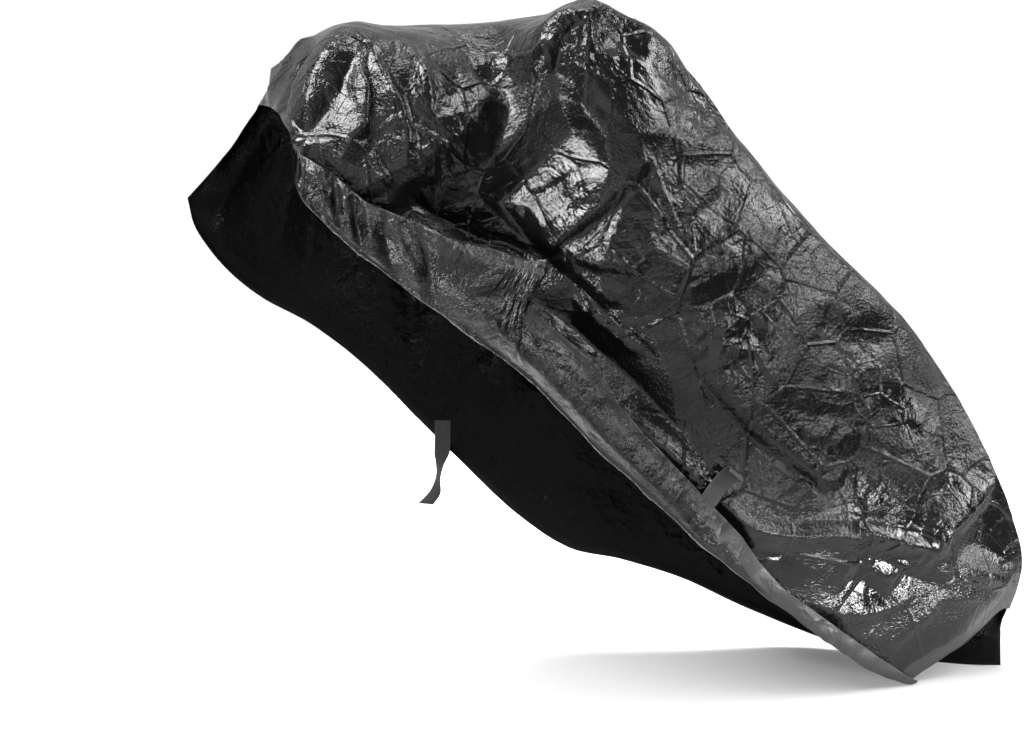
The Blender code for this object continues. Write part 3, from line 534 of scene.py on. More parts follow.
# the wide folds of the far side, from front to back
FAR_FOLDS = (
    (0.020, 0.060, 0.060, ((-0.600, 1.130), (-0.690, 1.000), (-0.760, 0.880))),
    (-0.018, 0.060, 0.060, ((-0.470, 1.180), (-0.520, 0.980), (-0.560, 0.760))),
    (0.018, 0.060, 0.060, ((-0.330, 1.160), (-0.350, 0.920), (-0.330, 0.600))),
    (-0.022, 0.070, 0.060, ((-0.160, 1.200), (-0.170, 0.900), (-0.130, 0.480))),
    (0.022, 0.060, 0.060, ((0.000, 1.200), (-0.010, 0.950), (0.040, 0.500))),
    (-0.018, 0.060, 0.070, ((0.130, 1.130), (0.120, 0.800), (0.160, 0.350))),
    (0.016, 0.060, 0.060, ((0.270, 0.980), (0.240, 0.700), (0.270, 0.260))),
    (-0.014, 0.060, 0.060, ((0.400, 0.840), (0.380, 0.560), (0.420, 0.150))),
    (0.012, 0.050, 0.050, ((0.560, 0.700), (0.560, 0.450), (0.580, 0.120))),
)


def outward(grid):
    """Unit normals of a grid of points, away from the inside of the cover."""
    normal = np.cross(np.gradient(grid, axis=1), np.gradient(grid, axis=0))
    return normal / np.linalg.norm(normal, axis=2, keepdims=True)


def relief(x, height, folds):
    """How far the folds move each place. A fold is a tent over its line, 0.35 t + 0.65 t squared where
    t falls from 1 on the line to 0 at its width, and it dies out along the last fifth of the line.
    Where ridges meet, the highest counts, and where troughs meet, the deepest."""
    ridges = np.zeros_like(x)
    troughs = np.zeros_like(x)
    for rise, left, right, line in folds:
        points = curve(line, np.linspace(0, len(line) - 1, 4 * len(line)))
        nearest = np.full(x.shape, 1e9)
        here = np.zeros_like(x)
        for k, (start, end) in enumerate(zip(points[:-1], points[1:])):
            along = end - start
            px, ph = x - start[0], height - start[1]
            t = np.clip((px * along[0] + ph * along[1]) / (along @ along), 0, 1)
            dx, dh = px - t * along[0], ph - t * along[1]
            distance = np.hypot(dx, dh)
            on_left = along[0] * dh - along[1] * dx > 0
            tent = np.clip(1 - distance / np.where(on_left, left, right), 0, 1)
            fade = np.clip(np.minimum(k + t, len(points) - 1 - k - t) / (0.2 * len(points)), 0, 1)
            closer = distance < nearest
            nearest = np.where(closer, distance, nearest)
            here = np.where(closer, (0.35 * tent + 0.65 * tent**2) * np.sin(fade * np.pi / 2), here)
        ridges = np.maximum(ridges, rise * here)
        troughs = np.minimum(troughs, rise * here)
    return ridges + troughs


def facets(x, height, lines, border):
    """How far out the cloth is at each place, on flat facets between creases. The creases' points and a
    border of points at 0 are joined by a Delaunay triangulation that keeps each crease as an edge, and
    a place takes its height from its triangle by its three barycentric shares."""
    points = [point for line in lines for point in line] + [(px, ph, 0.0) for px, ph in border]
    edges = []
    start = 0
    for line in lines:
        edges += [(start + k, start + k + 1) for k in range(len(line) - 1)]
        start += len(line)
    flat_points = [Vector(point[:2]) for point in points]
    corners, _, triangles, origins, _, _ = delaunay_2d_cdt(flat_points, edges, [], 0, 1e-4)
    out = [max((points[k][2] for k in source), key=abs) if source else 0.0 for source in origins]
    result = np.zeros_like(x)
    for a, b, c in triangles:
        ab, ac = corners[b] - corners[a], corners[c] - corners[a]
        px, ph = x - corners[a].x, height - corners[a].y
        whole = ab.cross(ac)
        share_b = (px * ac.y - ph * ac.x) / whole
        share_c = (ab.x * ph - ab.y * px) / whole
        share_a = 1 - share_b - share_c
        inside = np.minimum(np.minimum(share_a, share_b), share_c) >= 0
        result = np.where(inside, share_a * out[a] + share_b * out[b] + share_c * out[c], result)
    return result


def creased(a, b, spacing, stretch, seed):
    """Flat facets with straight creases between them, from -1 to 1: points on a lattice of that spacing,
    longer along a by stretch, are shifted at random and given random heights, each cell is cut into two
    triangles, and a place takes its height from the triangle it is in by its three barycentric shares."""
    chance = np.random.default_rng(seed)
    cells = 64
    shift = chance.uniform(-0.33, 0.33, (cells, cells, 2))
    heights = chance.uniform(-1, 1, (cells, cells))
    u, v = a / (spacing * stretch) + 200, b / spacing + 200
    i, j = np.floor(u).astype(int), np.floor(v).astype(int)
    result = np.zeros_like(a)
    found = np.zeros(a.shape, bool)
    for di, dj, upper in np.ndindex(3, 3, 2):
        ci, cj = i + di - 1, j + dj - 1
        corners = ((0, 0), (1, 0), (1, 1)) if upper else ((0, 0), (1, 1), (0, 1))
        (ua, va, ha), (ub, vb, hb), (uc, vc, hc) = (
            (
                ci + x + shift[(ci + x) % cells, (cj + y) % cells, 0],
                cj + y + shift[(ci + x) % cells, (cj + y) % cells, 1],
                heights[(ci + x) % cells, (cj + y) % cells],
            )
            for x, y in corners
        )
        whole = (ub - ua) * (vc - va) - (uc - ua) * (vb - va)
        share_b = ((u - ua) * (vc - va) - (uc - ua) * (v - va)) / whole
        share_c = ((ub - ua) * (v - va) - (u - ua) * (vb - va)) / whole
        inside = (np.minimum(np.minimum(share_b, share_c), 1 - share_b - share_c) > -1e-9) & ~found
        result = np.where(inside, ha + share_b * (hb - ha) + share_c * (hc - ha), result)
        found |= inside
    return result


# --- The cloth --------------------------------------------------------------------------------
# The sheet itself, folded along the lines of the tables and then creased as cloth is that has lain
# folded in a packet. Its hems are turned in once and welded, so they are flatter and stiffer.
STATION_COUNT = 250
FAR_ROWS = 36
NEAR_ROWS = 126
TURN_ROWS = 5
CUFF_ROWS = 22
CLOTH_THICKNESS = 0.0012
CUFF_ROLL = 0.10
HEM_WIDTH = 0.038
HEM_EDGE = 0.004
# how far the folds take to come back out beyond the cuff's edge, and to begin above the foot
UNDER_CUFF_FADE = 0.020
FOOT_FADE = 0.025
# cloth taken by one row of the turn at the foot, and how far the cloth is pulled smooth beside it
TURN_STEP = 0.004
CALM_WIDTH = 0.026
CALM_EDGE = 0.012
# places in the tables: the bunched front ends from the first to the second
BUNCHED_TO = (5.0, 6.5)
# how the cloth is pulled: down along the slope from the peak to the back
PULL = math.radians(-41)
# facets the cloth has been creased into: spacing, stretch along the threads' slope, depth, seed
FACETS = (
    (0.150, 1.6, 0.0045, 3),
    (0.075, 1.3, 0.0026, 8),
    (0.036, 1.0, 0.0008, 21),
)
# the same for the cuff, which has been handled most: spacing, depth, seed
CUFF_FACETS = ((0.060, 0.0050, 5), (0.028, 0.0035, 12))


def laid_out(flat):
    """Cloth coordinates in metres, along the threads, which hang level and plumb: x, and the spine's
    height less the way down the side from there. The first row is the spine."""
    steps = np.hypot(np.diff(flat[..., 1], axis=1), np.diff(flat[..., 2], axis=1))
    down = np.concatenate([np.zeros((len(flat), 1)), np.cumsum(steps, axis=1)], axis=1)
    return np.stack([flat[..., 0], flat[:, :1, 2] - down], -1)


def folded(place, down, far):
    """Points, normals, folds' depths and cloth coordinates of one side."""
    flat = side(place, down, far)
    normal = outward(flat)
    if far:
        lift = relief(flat[..., 0], flat[..., 2], FAR_FOLDS)
    else:
        corners = [(-0.54, 1.11), (-0.52, 1.02), (0.9, 0.1)]
        border = np.concatenate([TOP[:, [0, 2]], NEAR[:, [1, 3]], corners])
        lift = facets(flat[..., 0], flat[..., 2], NEAR_CREASE_LINES, border)
        lift += relief(flat[..., 0], flat[..., 2], NEAR_FOLDS)
    cloth = laid_out(flat[:, ::-1])[:, ::-1] if far else laid_out(flat)
    a = cloth[..., 0] * math.cos(PULL) + cloth[..., 1] * math.sin(PULL)
    b = cloth[..., 1] * math.cos(PULL) - cloth[..., 0] * math.sin(PULL)
    for spacing, stretch, depth, seed in FACETS:
        lift += depth * creased(a, b, spacing, stretch, seed + far)
    return flat, normal, lift, cloth


place = stations(STATION_COUNT)
far_rows = np.tile(np.linspace(1, 0, FAR_ROWS + 1), (STATION_COUNT, 1))
near_rows = np.tile(np.linspace(0, 1, NEAR_ROWS + 1), (STATION_COUNT, 1))
far_side, far_normal, far_lift, far_cloth = folded(place, far_rows, True)
near_side, near_normal, near_lift, near_cloth = folded(place, near_rows, False)

near_length = np.linalg.norm(np.diff(near_side, axis=1), axis=2).sum(1)[:, None]
cuff_width = np.interp(place, CUFF_WIDTH[:, 0], CUFF_WIDTH[:, 1])[:, None]
above_foot = (1 - near_rows) * near_length
under_cuff = np.clip((cuff_width + UNDER_CUFF_FADE - above_foot) / UNDER_CUFF_FADE, 0, 1)
near_lift -= under_cuff * np.maximum(near_lift, 0)
near_lift *= np.clip(above_foot / FOOT_FADE, 0, 1)
far_side = far_side + far_normal * far_lift[..., None]
near_side = near_side + near_normal * near_lift[..., None]
far_side[:, -1:] = near_side[:, :1] = (far_side[:, -1:] + near_side[:, :1]) / 2

up_cuff = np.linspace(0, 1, CUFF_ROWS + 1)
cuff, _, _, _ = folded(place, 1 - up_cuff * cuff_width / near_length, False)
cuff_cloth = np.stack([cuff[..., 0], near_cloth[:, -1:, 1] + cuff[..., 2] - cuff[:, :1, 2]], -1)
cuff_gap = np.interp(place, [CUFF_CLOSES, len(TOP) - 1], [CUFF_GAP, CUFF_GAP_BACK])[:, None]
cuff_lift = cuff_gap + CUFF_ROLL * cuff_width * np.sin(np.pi * up_cuff**0.8)
cuff_lift = cuff_lift + facets(cuff[..., 0], cuff[..., 2], CUFF_CREASE_LINES, NEAR[:, [1, 3]])
for spacing, depth, seed in CUFF_FACETS:
    cuff_lift = cuff_lift + depth * creased(cuff_cloth[..., 0], cuff_cloth[..., 1], spacing, 1, seed)
cuff_lift = np.maximum(cuff_lift, 0.5 * cuff_gap)
fold_line = np.gradient(near_side[:, -1], axis=0)
fold_line /= np.linalg.norm(fold_line, axis=1, keepdims=True)
# the flap before the notch leans over it, and the cloth after it leans away a little
before_notch = np.clip(1 - (NOTCH - place) / REACH_BEFORE, 0, 1)
after_notch = np.clip(1 - (place - NOTCH) / REACH_AFTER, 0, 1)
lean = np.where(place < NOTCH, before_notch, -LEAN_AWAY * after_notch)
cuff = cuff + near_normal[:, -1:] * cuff_lift[..., None]
cuff = cuff + fold_line[:, None] * (NOTCH_LEAN * lean[:, None] * up_cuff**2)[..., None]
# the cuff's cloth coordinates go on past the fold: each place is mirrored over the fold line
foot_cloth = near_cloth[:, -1:]
along_fold = np.gradient(foot_cloth, axis=0)
along_fold /= np.linalg.norm(along_fold, axis=2, keepdims=True)
up = cuff_cloth - foot_cloth
cuff_cloth = foot_cloth + 2 * (up * along_fold).sum(2, keepdims=True) * along_fold - up
angle = np.linspace(0, np.pi, TURN_ROWS + 2)[1:-1]
downward = near_side[:, -1] - near_side[:, -2]
downward /= np.linalg.norm(downward, axis=1, keepdims=True)
radius = (cuff_lift[:, :1] / 2)[..., None]
turn = (
    near_side[:, -1:]
    + near_normal[:, -1:] * radius * (1 - np.cos(angle))[:, None]
    + downward[:, None] * radius * np.sin(angle)[:, None]
)
turn_cloth = near_cloth[:, -1:] - [[[0, TURN_STEP * (step + 1)] for step in range(TURN_ROWS)]]
cuff_cloth[..., 1] -= TURN_STEP * (TURN_ROWS + 1)
cloth_grid = np.concatenate([far_side[:, :-1], near_side, turn, cuff], axis=1)
cloth_uv = np.concatenate([far_cloth[:, :-1], near_cloth, turn_cloth, cuff_cloth], axis=1)
cloth_grid[..., 2] += floor_height - (cloth_grid[..., 2].min() - CLOTH_THICKNESS / 2)


def grid_mesh(name, grid, uv):
    """A mesh of quads on a grid of points, with its faces outwards and a UV map in metres."""
    rows, columns = grid.shape[:2]
    index = np.arange(rows * columns).reshape(rows, columns)
    quads = np.stack((index[:-1, :-1], index[:-1, 1:], index[1:, 1:], index[1:, :-1]), -1).reshape(-1, 4)
    mesh = bpy.data.meshes.new(name)
    mesh.from_pydata(grid.reshape(-1, 3).tolist(), [], quads.tolist())
    layer = mesh.uv_layers.new(name="threads")
    layer.data.foreach_set("uv", uv.reshape(-1, 2)[quads.ravel()].ravel())
    mesh.shade_smooth()
    mesh.update()
    return mesh


def attribute(mesh, name, values):
    """One number for each point of the mesh, which its material reads."""
    mesh.attributes.new(name, "FLOAT", "POINT").data.foreach_set("value", values.ravel().astype(np.float32))


cloth_mesh = grid_mesh("cloth", cloth_grid, cloth_uv)
steps = np.linalg.norm(np.diff(cloth_grid, axis=1), axis=2)
from_far = np.concatenate([np.zeros((STATION_COUNT, 1)), np.cumsum(steps, axis=1)], axis=1)
from_cuff = from_far[:, -1:] - from_far
strides = np.linalg.norm(np.diff(cloth_grid, axis=0), axis=2)
from_front = np.concatenate([np.zeros((1, cloth_grid.shape[1])), np.cumsum(strides, axis=0)])
from_back = from_front[-1:] - from_front
from_edge = np.minimum.reduce([from_far, from_cuff, from_back])
hem = np.clip((HEM_WIDTH - from_edge) / HEM_EDGE + 0.5, 0, 1)
# on the cuff the hem, with its painted sheen, shows less up to the near tie: a painted shade where its face
# is turned away
hem[:, FAR_ROWS + NEAR_ROWS // 2 :] *= np.interp(place, [9.5, 11.5], [0.35, 1.0])[:, None]
attribute(cloth_mesh, "hem", hem)
# the cloth is pulled smooth where it turns over the fold at the cuff's foot, but for the bunched front
from_fold = np.abs(from_far - from_far[:, [FAR_ROWS + NEAR_ROWS + 2]])
calm = np.clip((CALM_WIDTH - from_fold) / CALM_EDGE, 0, 1) * np.interp(place, BUNCHED_TO, [0, 1])[:, None]
attribute(cloth_mesh, "calm", calm)
on_cuff = np.arange(cloth_grid.shape[1]) > FAR_ROWS + NEAR_ROWS
attribute(cloth_mesh, "cuff", np.tile(on_cuff, (STATION_COUNT, 1)))

cloth = bpy.data.objects.new("cloth", cloth_mesh)
bpy.context.scene.collection.objects.link(cloth)
solidify = cloth.modifiers.new("thickness", "SOLIDIFY")
solidify.thickness = CLOTH_THICKNESS
solidify.offset = 0
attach(cloth, "root")
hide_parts("cover")


# Its material: near-black polyethylene tapes, woven flat and coated with the same to a high gloss
class Value:
    """A shader value. Arithmetic on it adds Math nodes to its tree."""

    def __init__(self, tree, socket):
        self.tree, self.socket = tree, socket

    def maths(self, operation, *terms):
        """A Math node on values or plain numbers."""
        step = self.tree.nodes.new("ShaderNodeMath")
        step.operation = operation
        for slot, term in zip(step.inputs, terms):
            if isinstance(term, Value):
                self.tree.links.new(term.socket, slot)
            else:
                slot.default_value = term
        return Value(self.tree, step.outputs[0])

    def __add__(self, other):
        return self.maths("ADD", self, other)

    def __sub__(self, other):
        return self.maths("SUBTRACT", self, other)

    def __rsub__(self, other):
        return self.maths("SUBTRACT", other, self)

    def __mul__(self, other):
        return self.maths("MULTIPLY", self, other)

    def __truediv__(self, other):
        return self.maths("DIVIDE", self, other)

    __radd__ = __add__
    __rmul__ = __mul__

    def fit(self, low, high):
        """0 at low and 1 at high, and held there beyond them."""
        scaled = (self - low) / (high - low)
        scaled.socket.node.use_clamp = True
        return scaled

    def wave(self, pitch):
        """The sine of pi times the value over the pitch."""
        turned = self * (math.pi / pitch)
        return turned.maths("SINE", turned)


class Nodes:
    """A node tree. node() adds any node, with its settings first and then its sockets."""

    def __init__(self, tree):
        self.tree = tree

    def node(self, kind, settings=None, output=0, **sockets):
        made = self.tree.nodes.new("ShaderNode" + kind)
        for key, value in (settings or {}).items():
            setattr(made, key, value)
        for key, value in sockets.items():
            self.put(made, key.replace("_", " "), value)
        return Value(self.tree, made.outputs[output])

    def put(self, node, socket, value):
        """Links a value to the node's socket, or sets it there."""
        if isinstance(value, Value):
            self.tree.links.new(value.socket, node.inputs[socket])
        else:
            node.inputs[socket].default_value = value

    def vector(self, operation, *terms):
        """A Vector Math node on vectors."""
        made = self.node("VectorMath", {"operation": operation})
        for k, term in enumerate(terms):
            self.put(made.socket.node, k, term)
        return made

    def mix(self, share, first, second):
        """A colour that turns from the first to the second as share goes from 0 to 1."""
        made = self.node("Mix", {"data_type": "RGBA"}, 2)
        for socket, value in ((0, share), (6, first), (7, second)):
            self.put(made.socket.node, socket, value)
        return made

    def creases(self, where, size, slope, seed):
        """Height of a crinkled skin: the distance to the nearest side of a net of random cells of that
        size, so that each cell is a low pyramid with flat faces and that slope."""
        spot = self.vector("MULTIPLY_ADD", where, (1 / size, 1 / size, 0.0), (seed, 2 * seed, 0.0))
        net = {"voronoi_dimensions": "2D", "feature": "DISTANCE_TO_EDGE"}
        return self.node("TexVoronoi", net, 0, Vector=spot, Scale=1.0) * (slope * size)

    def ridges(self, where, size, width, slope, seed):
        """Height of narrow creases along the same kind of net: a tent of that half width and slope."""
        inside = width - self.creases(where, size, 1.0, seed)
        return inside.maths("MAXIMUM", inside, 0.0) * slope


class Finish(Nodes):
    """A material with its node tree, whose shader is a Principled BSDF."""

    def __init__(self, name):
        self.material = bpy.data.materials.new(name)
        self.material.use_nodes = True
        super().__init__(self.material.node_tree)
        self.shader = self.tree.nodes["Principled BSDF"]

    def colour(self, base, roughness, height):
        """Sets the shader's colour and roughness, and makes its normal follow a height in metres."""
        bump = self.node("Bump", None, 0, Strength=1.0, Distance=1.0, Height=height)
        for socket, value in (("Base Color", base), ("Roughness", roughness), ("Normal", bump)):
            self.put(self.shader, socket, value)
        return bump

    def from_shader(self, first, share):
        """Gives the surface a Mix Shader that turns from the first shader to the material's own."""
        mixer = self.node("MixShader", None, 0, Fac=share)
        self.put(mixer.socket.node, 1, first)
        self.tree.links.new(self.shader.outputs[0], mixer.socket.node.inputs[2])
        self.put(self.tree.nodes["Material Output"], "Surface", mixer)


# nets of crinkles in pairs, one less the other: size, slope, seed
COARSE_NETS = ((0.070, 0.08, 3.0), (0.055, 0.08, 17.0))
FINE_NETS = ((0.030, 0.10, 5.0), (0.021, 0.10, 23.0))
# long creases from the packet and short ones between them: size, half width, slope, seed
LONG_LINES = (0.130, 0.005, 0.42, 31.0)
SHORT_LINES = (0.060, 0.003, 0.25, 41.0)
GRAIN_HEIGHT = 0.0022
# the back hangs smoother than the front, from one x to the other
SMOOTHER_FROM, SMOOTHER_TO = 0.15, 0.40
CLOTH_BLACK = (0.004, 0.004, 0.0038, 1)
# the hems' lighter grey is a painted sheen, standing in for the pale floor mirrored in the hem band
HEM_SHEEN_GREY = (0.026, 0.027, 0.026, 1)
# the inside's darker black and weaker gloss are a painted shade for the deep shadow within the cover
INSIDE_SHADE_BLACK = (0.002, 0.002, 0.002, 1)
INSIDE_SHADE_IOR = 1.16


def coated(name, inside):
    """The cloth's finish. The inside is darker and duller, a painted shade for the deep shadow within the
    cover, except where it is turned out as the cuff.
    """
    coating = Finish(name)
    threads = coating.node("UVMap", {"uv_map": "threads"})
    where = coating.node("TexCoord", None, 3)
    hem, cuffed, calm = (
        coating.node("Attribute", {"attribute_name": part}, 2) for part in ("hem", "cuff", "calm")
    )

    def warped(scale, strength):
        """The cloth coordinates, moved about by a noise of that scale and by up to that many metres."""
        flat = {"noise_dimensions": "2D"}
        wander = coating.node("TexNoise", flat, 1, Vector=threads, Scale=scale, Detail=2.0)
        return coating.vector("MULTIPLY_ADD", wander, (strength, strength, 0.0), threads)

    def patches(scale, low, high):
        """0 to 1: where one kind of crinkle is strong."""
        return coating.node("TexNoise", None, 0, Vector=where, Scale=scale, Detail=3.0).fit(low, high)

    loose = warped(9.0, 0.016)
    straight = warped(6.0, 0.010)
    crisp = patches(4.0, 0.40, 0.62)
    grainy = patches(6.5, 0.38, 0.60)
    coarse, fine = (
        coating.creases(loose, *up) - coating.creases(loose, *down) for up, down in (COARSE_NETS, FINE_NETS)
    )
    skin = coarse * (0.4 + 0.6 * crisp) + fine * (0.2 + 0.8 * crisp)
    if inside:
        skin = skin * (1 + 0.9 * cuffed)
    else:
        along = coating.node("SeparateXYZ", None, 0, Vector=where)
        skin = skin * (1 - 0.4 * along.fit(SMOOTHER_FROM, SMOOTHER_TO))
    lines = coating.ridges(straight, *LONG_LINES) * (0.4 + 0.6 * crisp)
    lines += coating.ridges(straight, *SHORT_LINES) * crisp
    skin += lines * (0.25 + 0.75 * cuffed if inside else 1.0)
    grain = coating.node("TexNoise", None, 0, Vector=where, Scale=170.0, Detail=2.0, Roughness=0.65)
    skin += grain * GRAIN_HEIGHT * (0.3 + 0.7 * grainy + 0.5 * cuffed)
    skin = skin * (1 - 0.55 * hem) * (1 - 0.5 * calm)
    roughness = 0.15 + 0.05 * grainy + 0.20 * hem + 0.06 * cuffed
    # along the hems the colour turns to the lighter grey, a painted sheen; their higher roughness and
    # flatter bumps are the hem's own
    bump = coating.colour(coating.mix(hem, CLOTH_BLACK, HEM_SHEEN_GREY), roughness, skin)
    if inside:
        # the inside away from the cuff gets a darker black and weaker gloss: painted shade
        looks = {"Base_Color": INSIDE_SHADE_BLACK, "IOR": INSIDE_SHADE_IOR, "Roughness": roughness, "Normal": bump}
        coating.from_shader(coating.node("BsdfPrincipled", **looks), cuffed)
    return coating.material


cloth_mesh.materials.append(coated("coated_cloth", False))
cloth_mesh.materials.append(coated("coated_cloth_shaded_inside", True))
solidify.material_offset = 1

# --- The two ties -----------------------------------------------------------------------------
# Flat woven webbing, box-stitched inside each hem: the near one comes out past the cuff's edge and
# curls away from the cloth, and the far one hangs free. Their ends are cut and sealed with heat.
TIE_WIDTH = 0.034
TIE_THICKNESS = 0.0014
TIE_GAP = 0.0005
TIE_CLEARANCE = 0.003
OVER = 0.1
TIE_COLUMNS = 13
TIE_STEPS = 14
# near tie: how far past the hem its middle line is, and how far off the cloth
NEAR_TIE_STATION = 10.35
NEAR_TIE_LEAN = math.radians(30)
NEAR_TIE = np.array([
    (-0.024, 0.000),
    (-0.004, 0.000),
    (0.016, 0.000),
    (0.038, 0.000),
    (0.054, 0.006),
    (0.066, 0.018),
    (0.066, 0.034),
    (0.056, 0.044),
])
# far tie: how far to the front, how far below the hem, how far inside the cloth, turn of its face
FAR_TIE_STATION = 6.6
FAR_TIE = np.array([
    (0.000, -0.050, 0.000, 0),
    (0.000, -0.018, 0.000, 0),
    (0.001, 0.012, 0.002, 0),
    (0.005, 0.040, 0.010, 50),
    (0.008, 0.070, 0.016, 65),
    (0.014, 0.100, 0.018, 40),
    (0.034, 0.126, 0.022, 10),
])
# box stitching: half its width and length, its middle's distance from the tie's sewn end, and one
# stitch's length, pitch and thickness
BOX_HALF = 0.012
BOX_MIDDLE = 0.016
STITCH_LENGTH = 0.0032
STITCH_PITCH = 0.0045
STITCH_THICKNESS = 0.0008
# each stitch is a grid of this many angles round and along it
STITCH_ROUND, STITCH_ALONG = 8, 6
# how far a tie's sides dip, the pitch of its ribs and of its weft, and the width of its tight edge
TIE_CUP = 0.0004
RIB_PITCH = 0.0017
PICK_PITCH = 0.0011
TIGHT_EDGE = (0.0022, 0.0012)

bpy.context.view_layer.update()
cloth_tree = BVHTree.FromObject(cloth, bpy.context.evaluated_depsgraph_get())


def unit(vector):
    """The vector at length 1."""
    return vector / np.linalg.norm(vector)


def at_hem(station, end, inner):
    """A place on the sheet's edge column, end, and three directions there: from the edge into the
    sheet, square to the sheet, and to the back along the edge. inner is a column further in."""
    row = int(np.argmin(np.abs(place - station)))
    here = cloth_grid[row - 2 : row + 3].mean(0)
    inward = unit(here[inner] - here[end])
    back = cloth_grid[row + 4, end] - cloth_grid[row - 4, end]
    back = unit(back - inward * (back @ inward))
    return here[end], inward, np.cross(inward, back), back


def room(spots, way):
    """The shortest way from the spots to the cloth in that direction."""
    hits = (cloth_tree.ray_cast(spot.tolist(), way.tolist())[3] for spot in spots)
    return min(hit for hit in hits if hit is not None)


def spots_across(line, across):
    """Spots all over a tie between two points of its line."""
    return [
        line[0] + (line[1] - line[0]) * t + across * TIE_WIDTH * w
        for t in np.linspace(0, 1, 9)
        for w in np.linspace(-0.5, 0.5, 11)
    ]


def tie_grid(line, across):
    """Points and cloth coordinates of a tie. Its middle line runs smoothly through the points, each
    cross-section is that line's point plus w times the width's direction, and the sides dip by
    TIE_CUP times (2w / width) squared, as webbing cups."""
    places = np.linspace(0, len(line) - 1, TIE_STEPS * (len(line) - 1) + 1)
    middle, way = curve(line, places), curve(across, places)
    way /= np.linalg.norm(way, axis=1, keepdims=True)
    along = np.gradient(middle, axis=0)
    face = np.cross(along, way)
    face /= np.linalg.norm(face, axis=1, keepdims=True)
    w = np.linspace(-0.5, 0.5, TIE_COLUMNS) * TIE_WIDTH
    cup = TIE_CUP * (2 * w / TIE_WIDTH) ** 2 * np.clip(places / 3 - 1, 0, 1)[:, None]
    grid = middle[:, None] + w[None, :, None] * way[:, None] + cup[..., None] * face[:, None]
    run = np.concatenate([[0], np.cumsum(np.linalg.norm(np.diff(middle, axis=0), axis=1))])
    cloth_places = np.stack(np.broadcast_arrays(w[None, :], run[:, None]), -1)
    return grid, cloth_places, face


def box_stitches():
    """Middle and direction of each stitch, across and along the tie: a square with its diagonals."""
    corners = BOX_HALF * np.array([(-1, -1), (1, -1), (1, 1), (-1, 1)], float)
    runs = [(corners[k], corners[(k + 1) % 4]) for k in range(4)]
    runs += [(corners[0], corners[2]), (corners[1], corners[3])]
    middles, ways = [], []
    for start, end in runs:
        count = int(np.linalg.norm(end - start) / STITCH_PITCH)
        share = (np.arange(count) + 0.5)[:, None] / count
        middles.append(start + (end - start) * share)
        ways.append(np.tile(unit(end - start), (count, 1)))
    return np.concatenate(middles) + (0, BOX_MIDDLE), np.concatenate(ways)


def stitches(name, grid, cloth_places, face, lift):
    """The stitches as short round-ended threads on a tie's face. Each is an ellipsoid on a grid of angles,
    laid in the tie's surface at its place."""
    middles, ways = box_stitches()
    run = cloth_places[:, 0, 1]
    row = np.interp(middles[:, 1], run, np.arange(len(run)))
    k = np.floor(row).astype(int)
    t = (row - k)[:, None]
    line = grid[:, TIE_COLUMNS // 2]
    centre = line[k] * (1 - t) + line[k + 1] * t
    width_way = grid[k, -1] - grid[k, 0]
    width_way /= np.linalg.norm(width_way, axis=1, keepdims=True)
    length_way = np.cross(width_way, face[k])
    length_way *= np.sign((length_way * (line[k + 1] - line[k])).sum(1, keepdims=True))
    centre = centre + width_way * middles[:, :1] + face[k] * lift
    long_way = width_way * ways[:, :1] + length_way * ways[:, 1:]
    side_way = np.cross(face[k], long_way)
    angles = np.linspace(0, 2 * np.pi, STITCH_ROUND + 1)[:-1]
    angle, polar = np.meshgrid(angles, np.linspace(0, np.pi, STITCH_ALONG), indexing="ij")
    long_part = np.cos(polar) * STITCH_LENGTH / 2
    side_part = np.sin(polar) * np.cos(angle) * STITCH_THICKNESS / 2
    face_part = np.sin(polar) * np.sin(angle) * STITCH_THICKNESS / 2
    parts = (long_part, side_part, face_part)
    points = centre[:, None, None] + sum(
        part[None, ..., None] * way[:, None, None] for part, way in zip(parts, (long_way, side_way, face[k]))
    )
    index = np.arange(STITCH_ROUND * STITCH_ALONG).reshape(STITCH_ROUND, STITCH_ALONG)
    ahead = np.roll(index, -1, axis=0)
    quads = np.stack((index[:, :-1], ahead[:, :-1], ahead[:, 1:], index[:, 1:]), -1).reshape(-1, 4)
    every = (quads[None] + index.size * np.arange(len(centre))[:, None, None]).reshape(-1, 4)
    mesh = bpy.data.meshes.new(name)
    mesh.from_pydata(points.reshape(-1, 3).tolist(), [], every.tolist())
    build = bmesh.new()
    build.from_mesh(mesh)
    bmesh.ops.remove_doubles(build, verts=build.verts, dist=1e-6)
    bmesh.ops.recalc_face_normals(build, faces=build.faces)
    build.to_mesh(mesh)
    build.free()
    mesh.shade_smooth()
    thing = bpy.data.objects.new(name, mesh)
    bpy.context.scene.collection.objects.link(thing)
    return thing


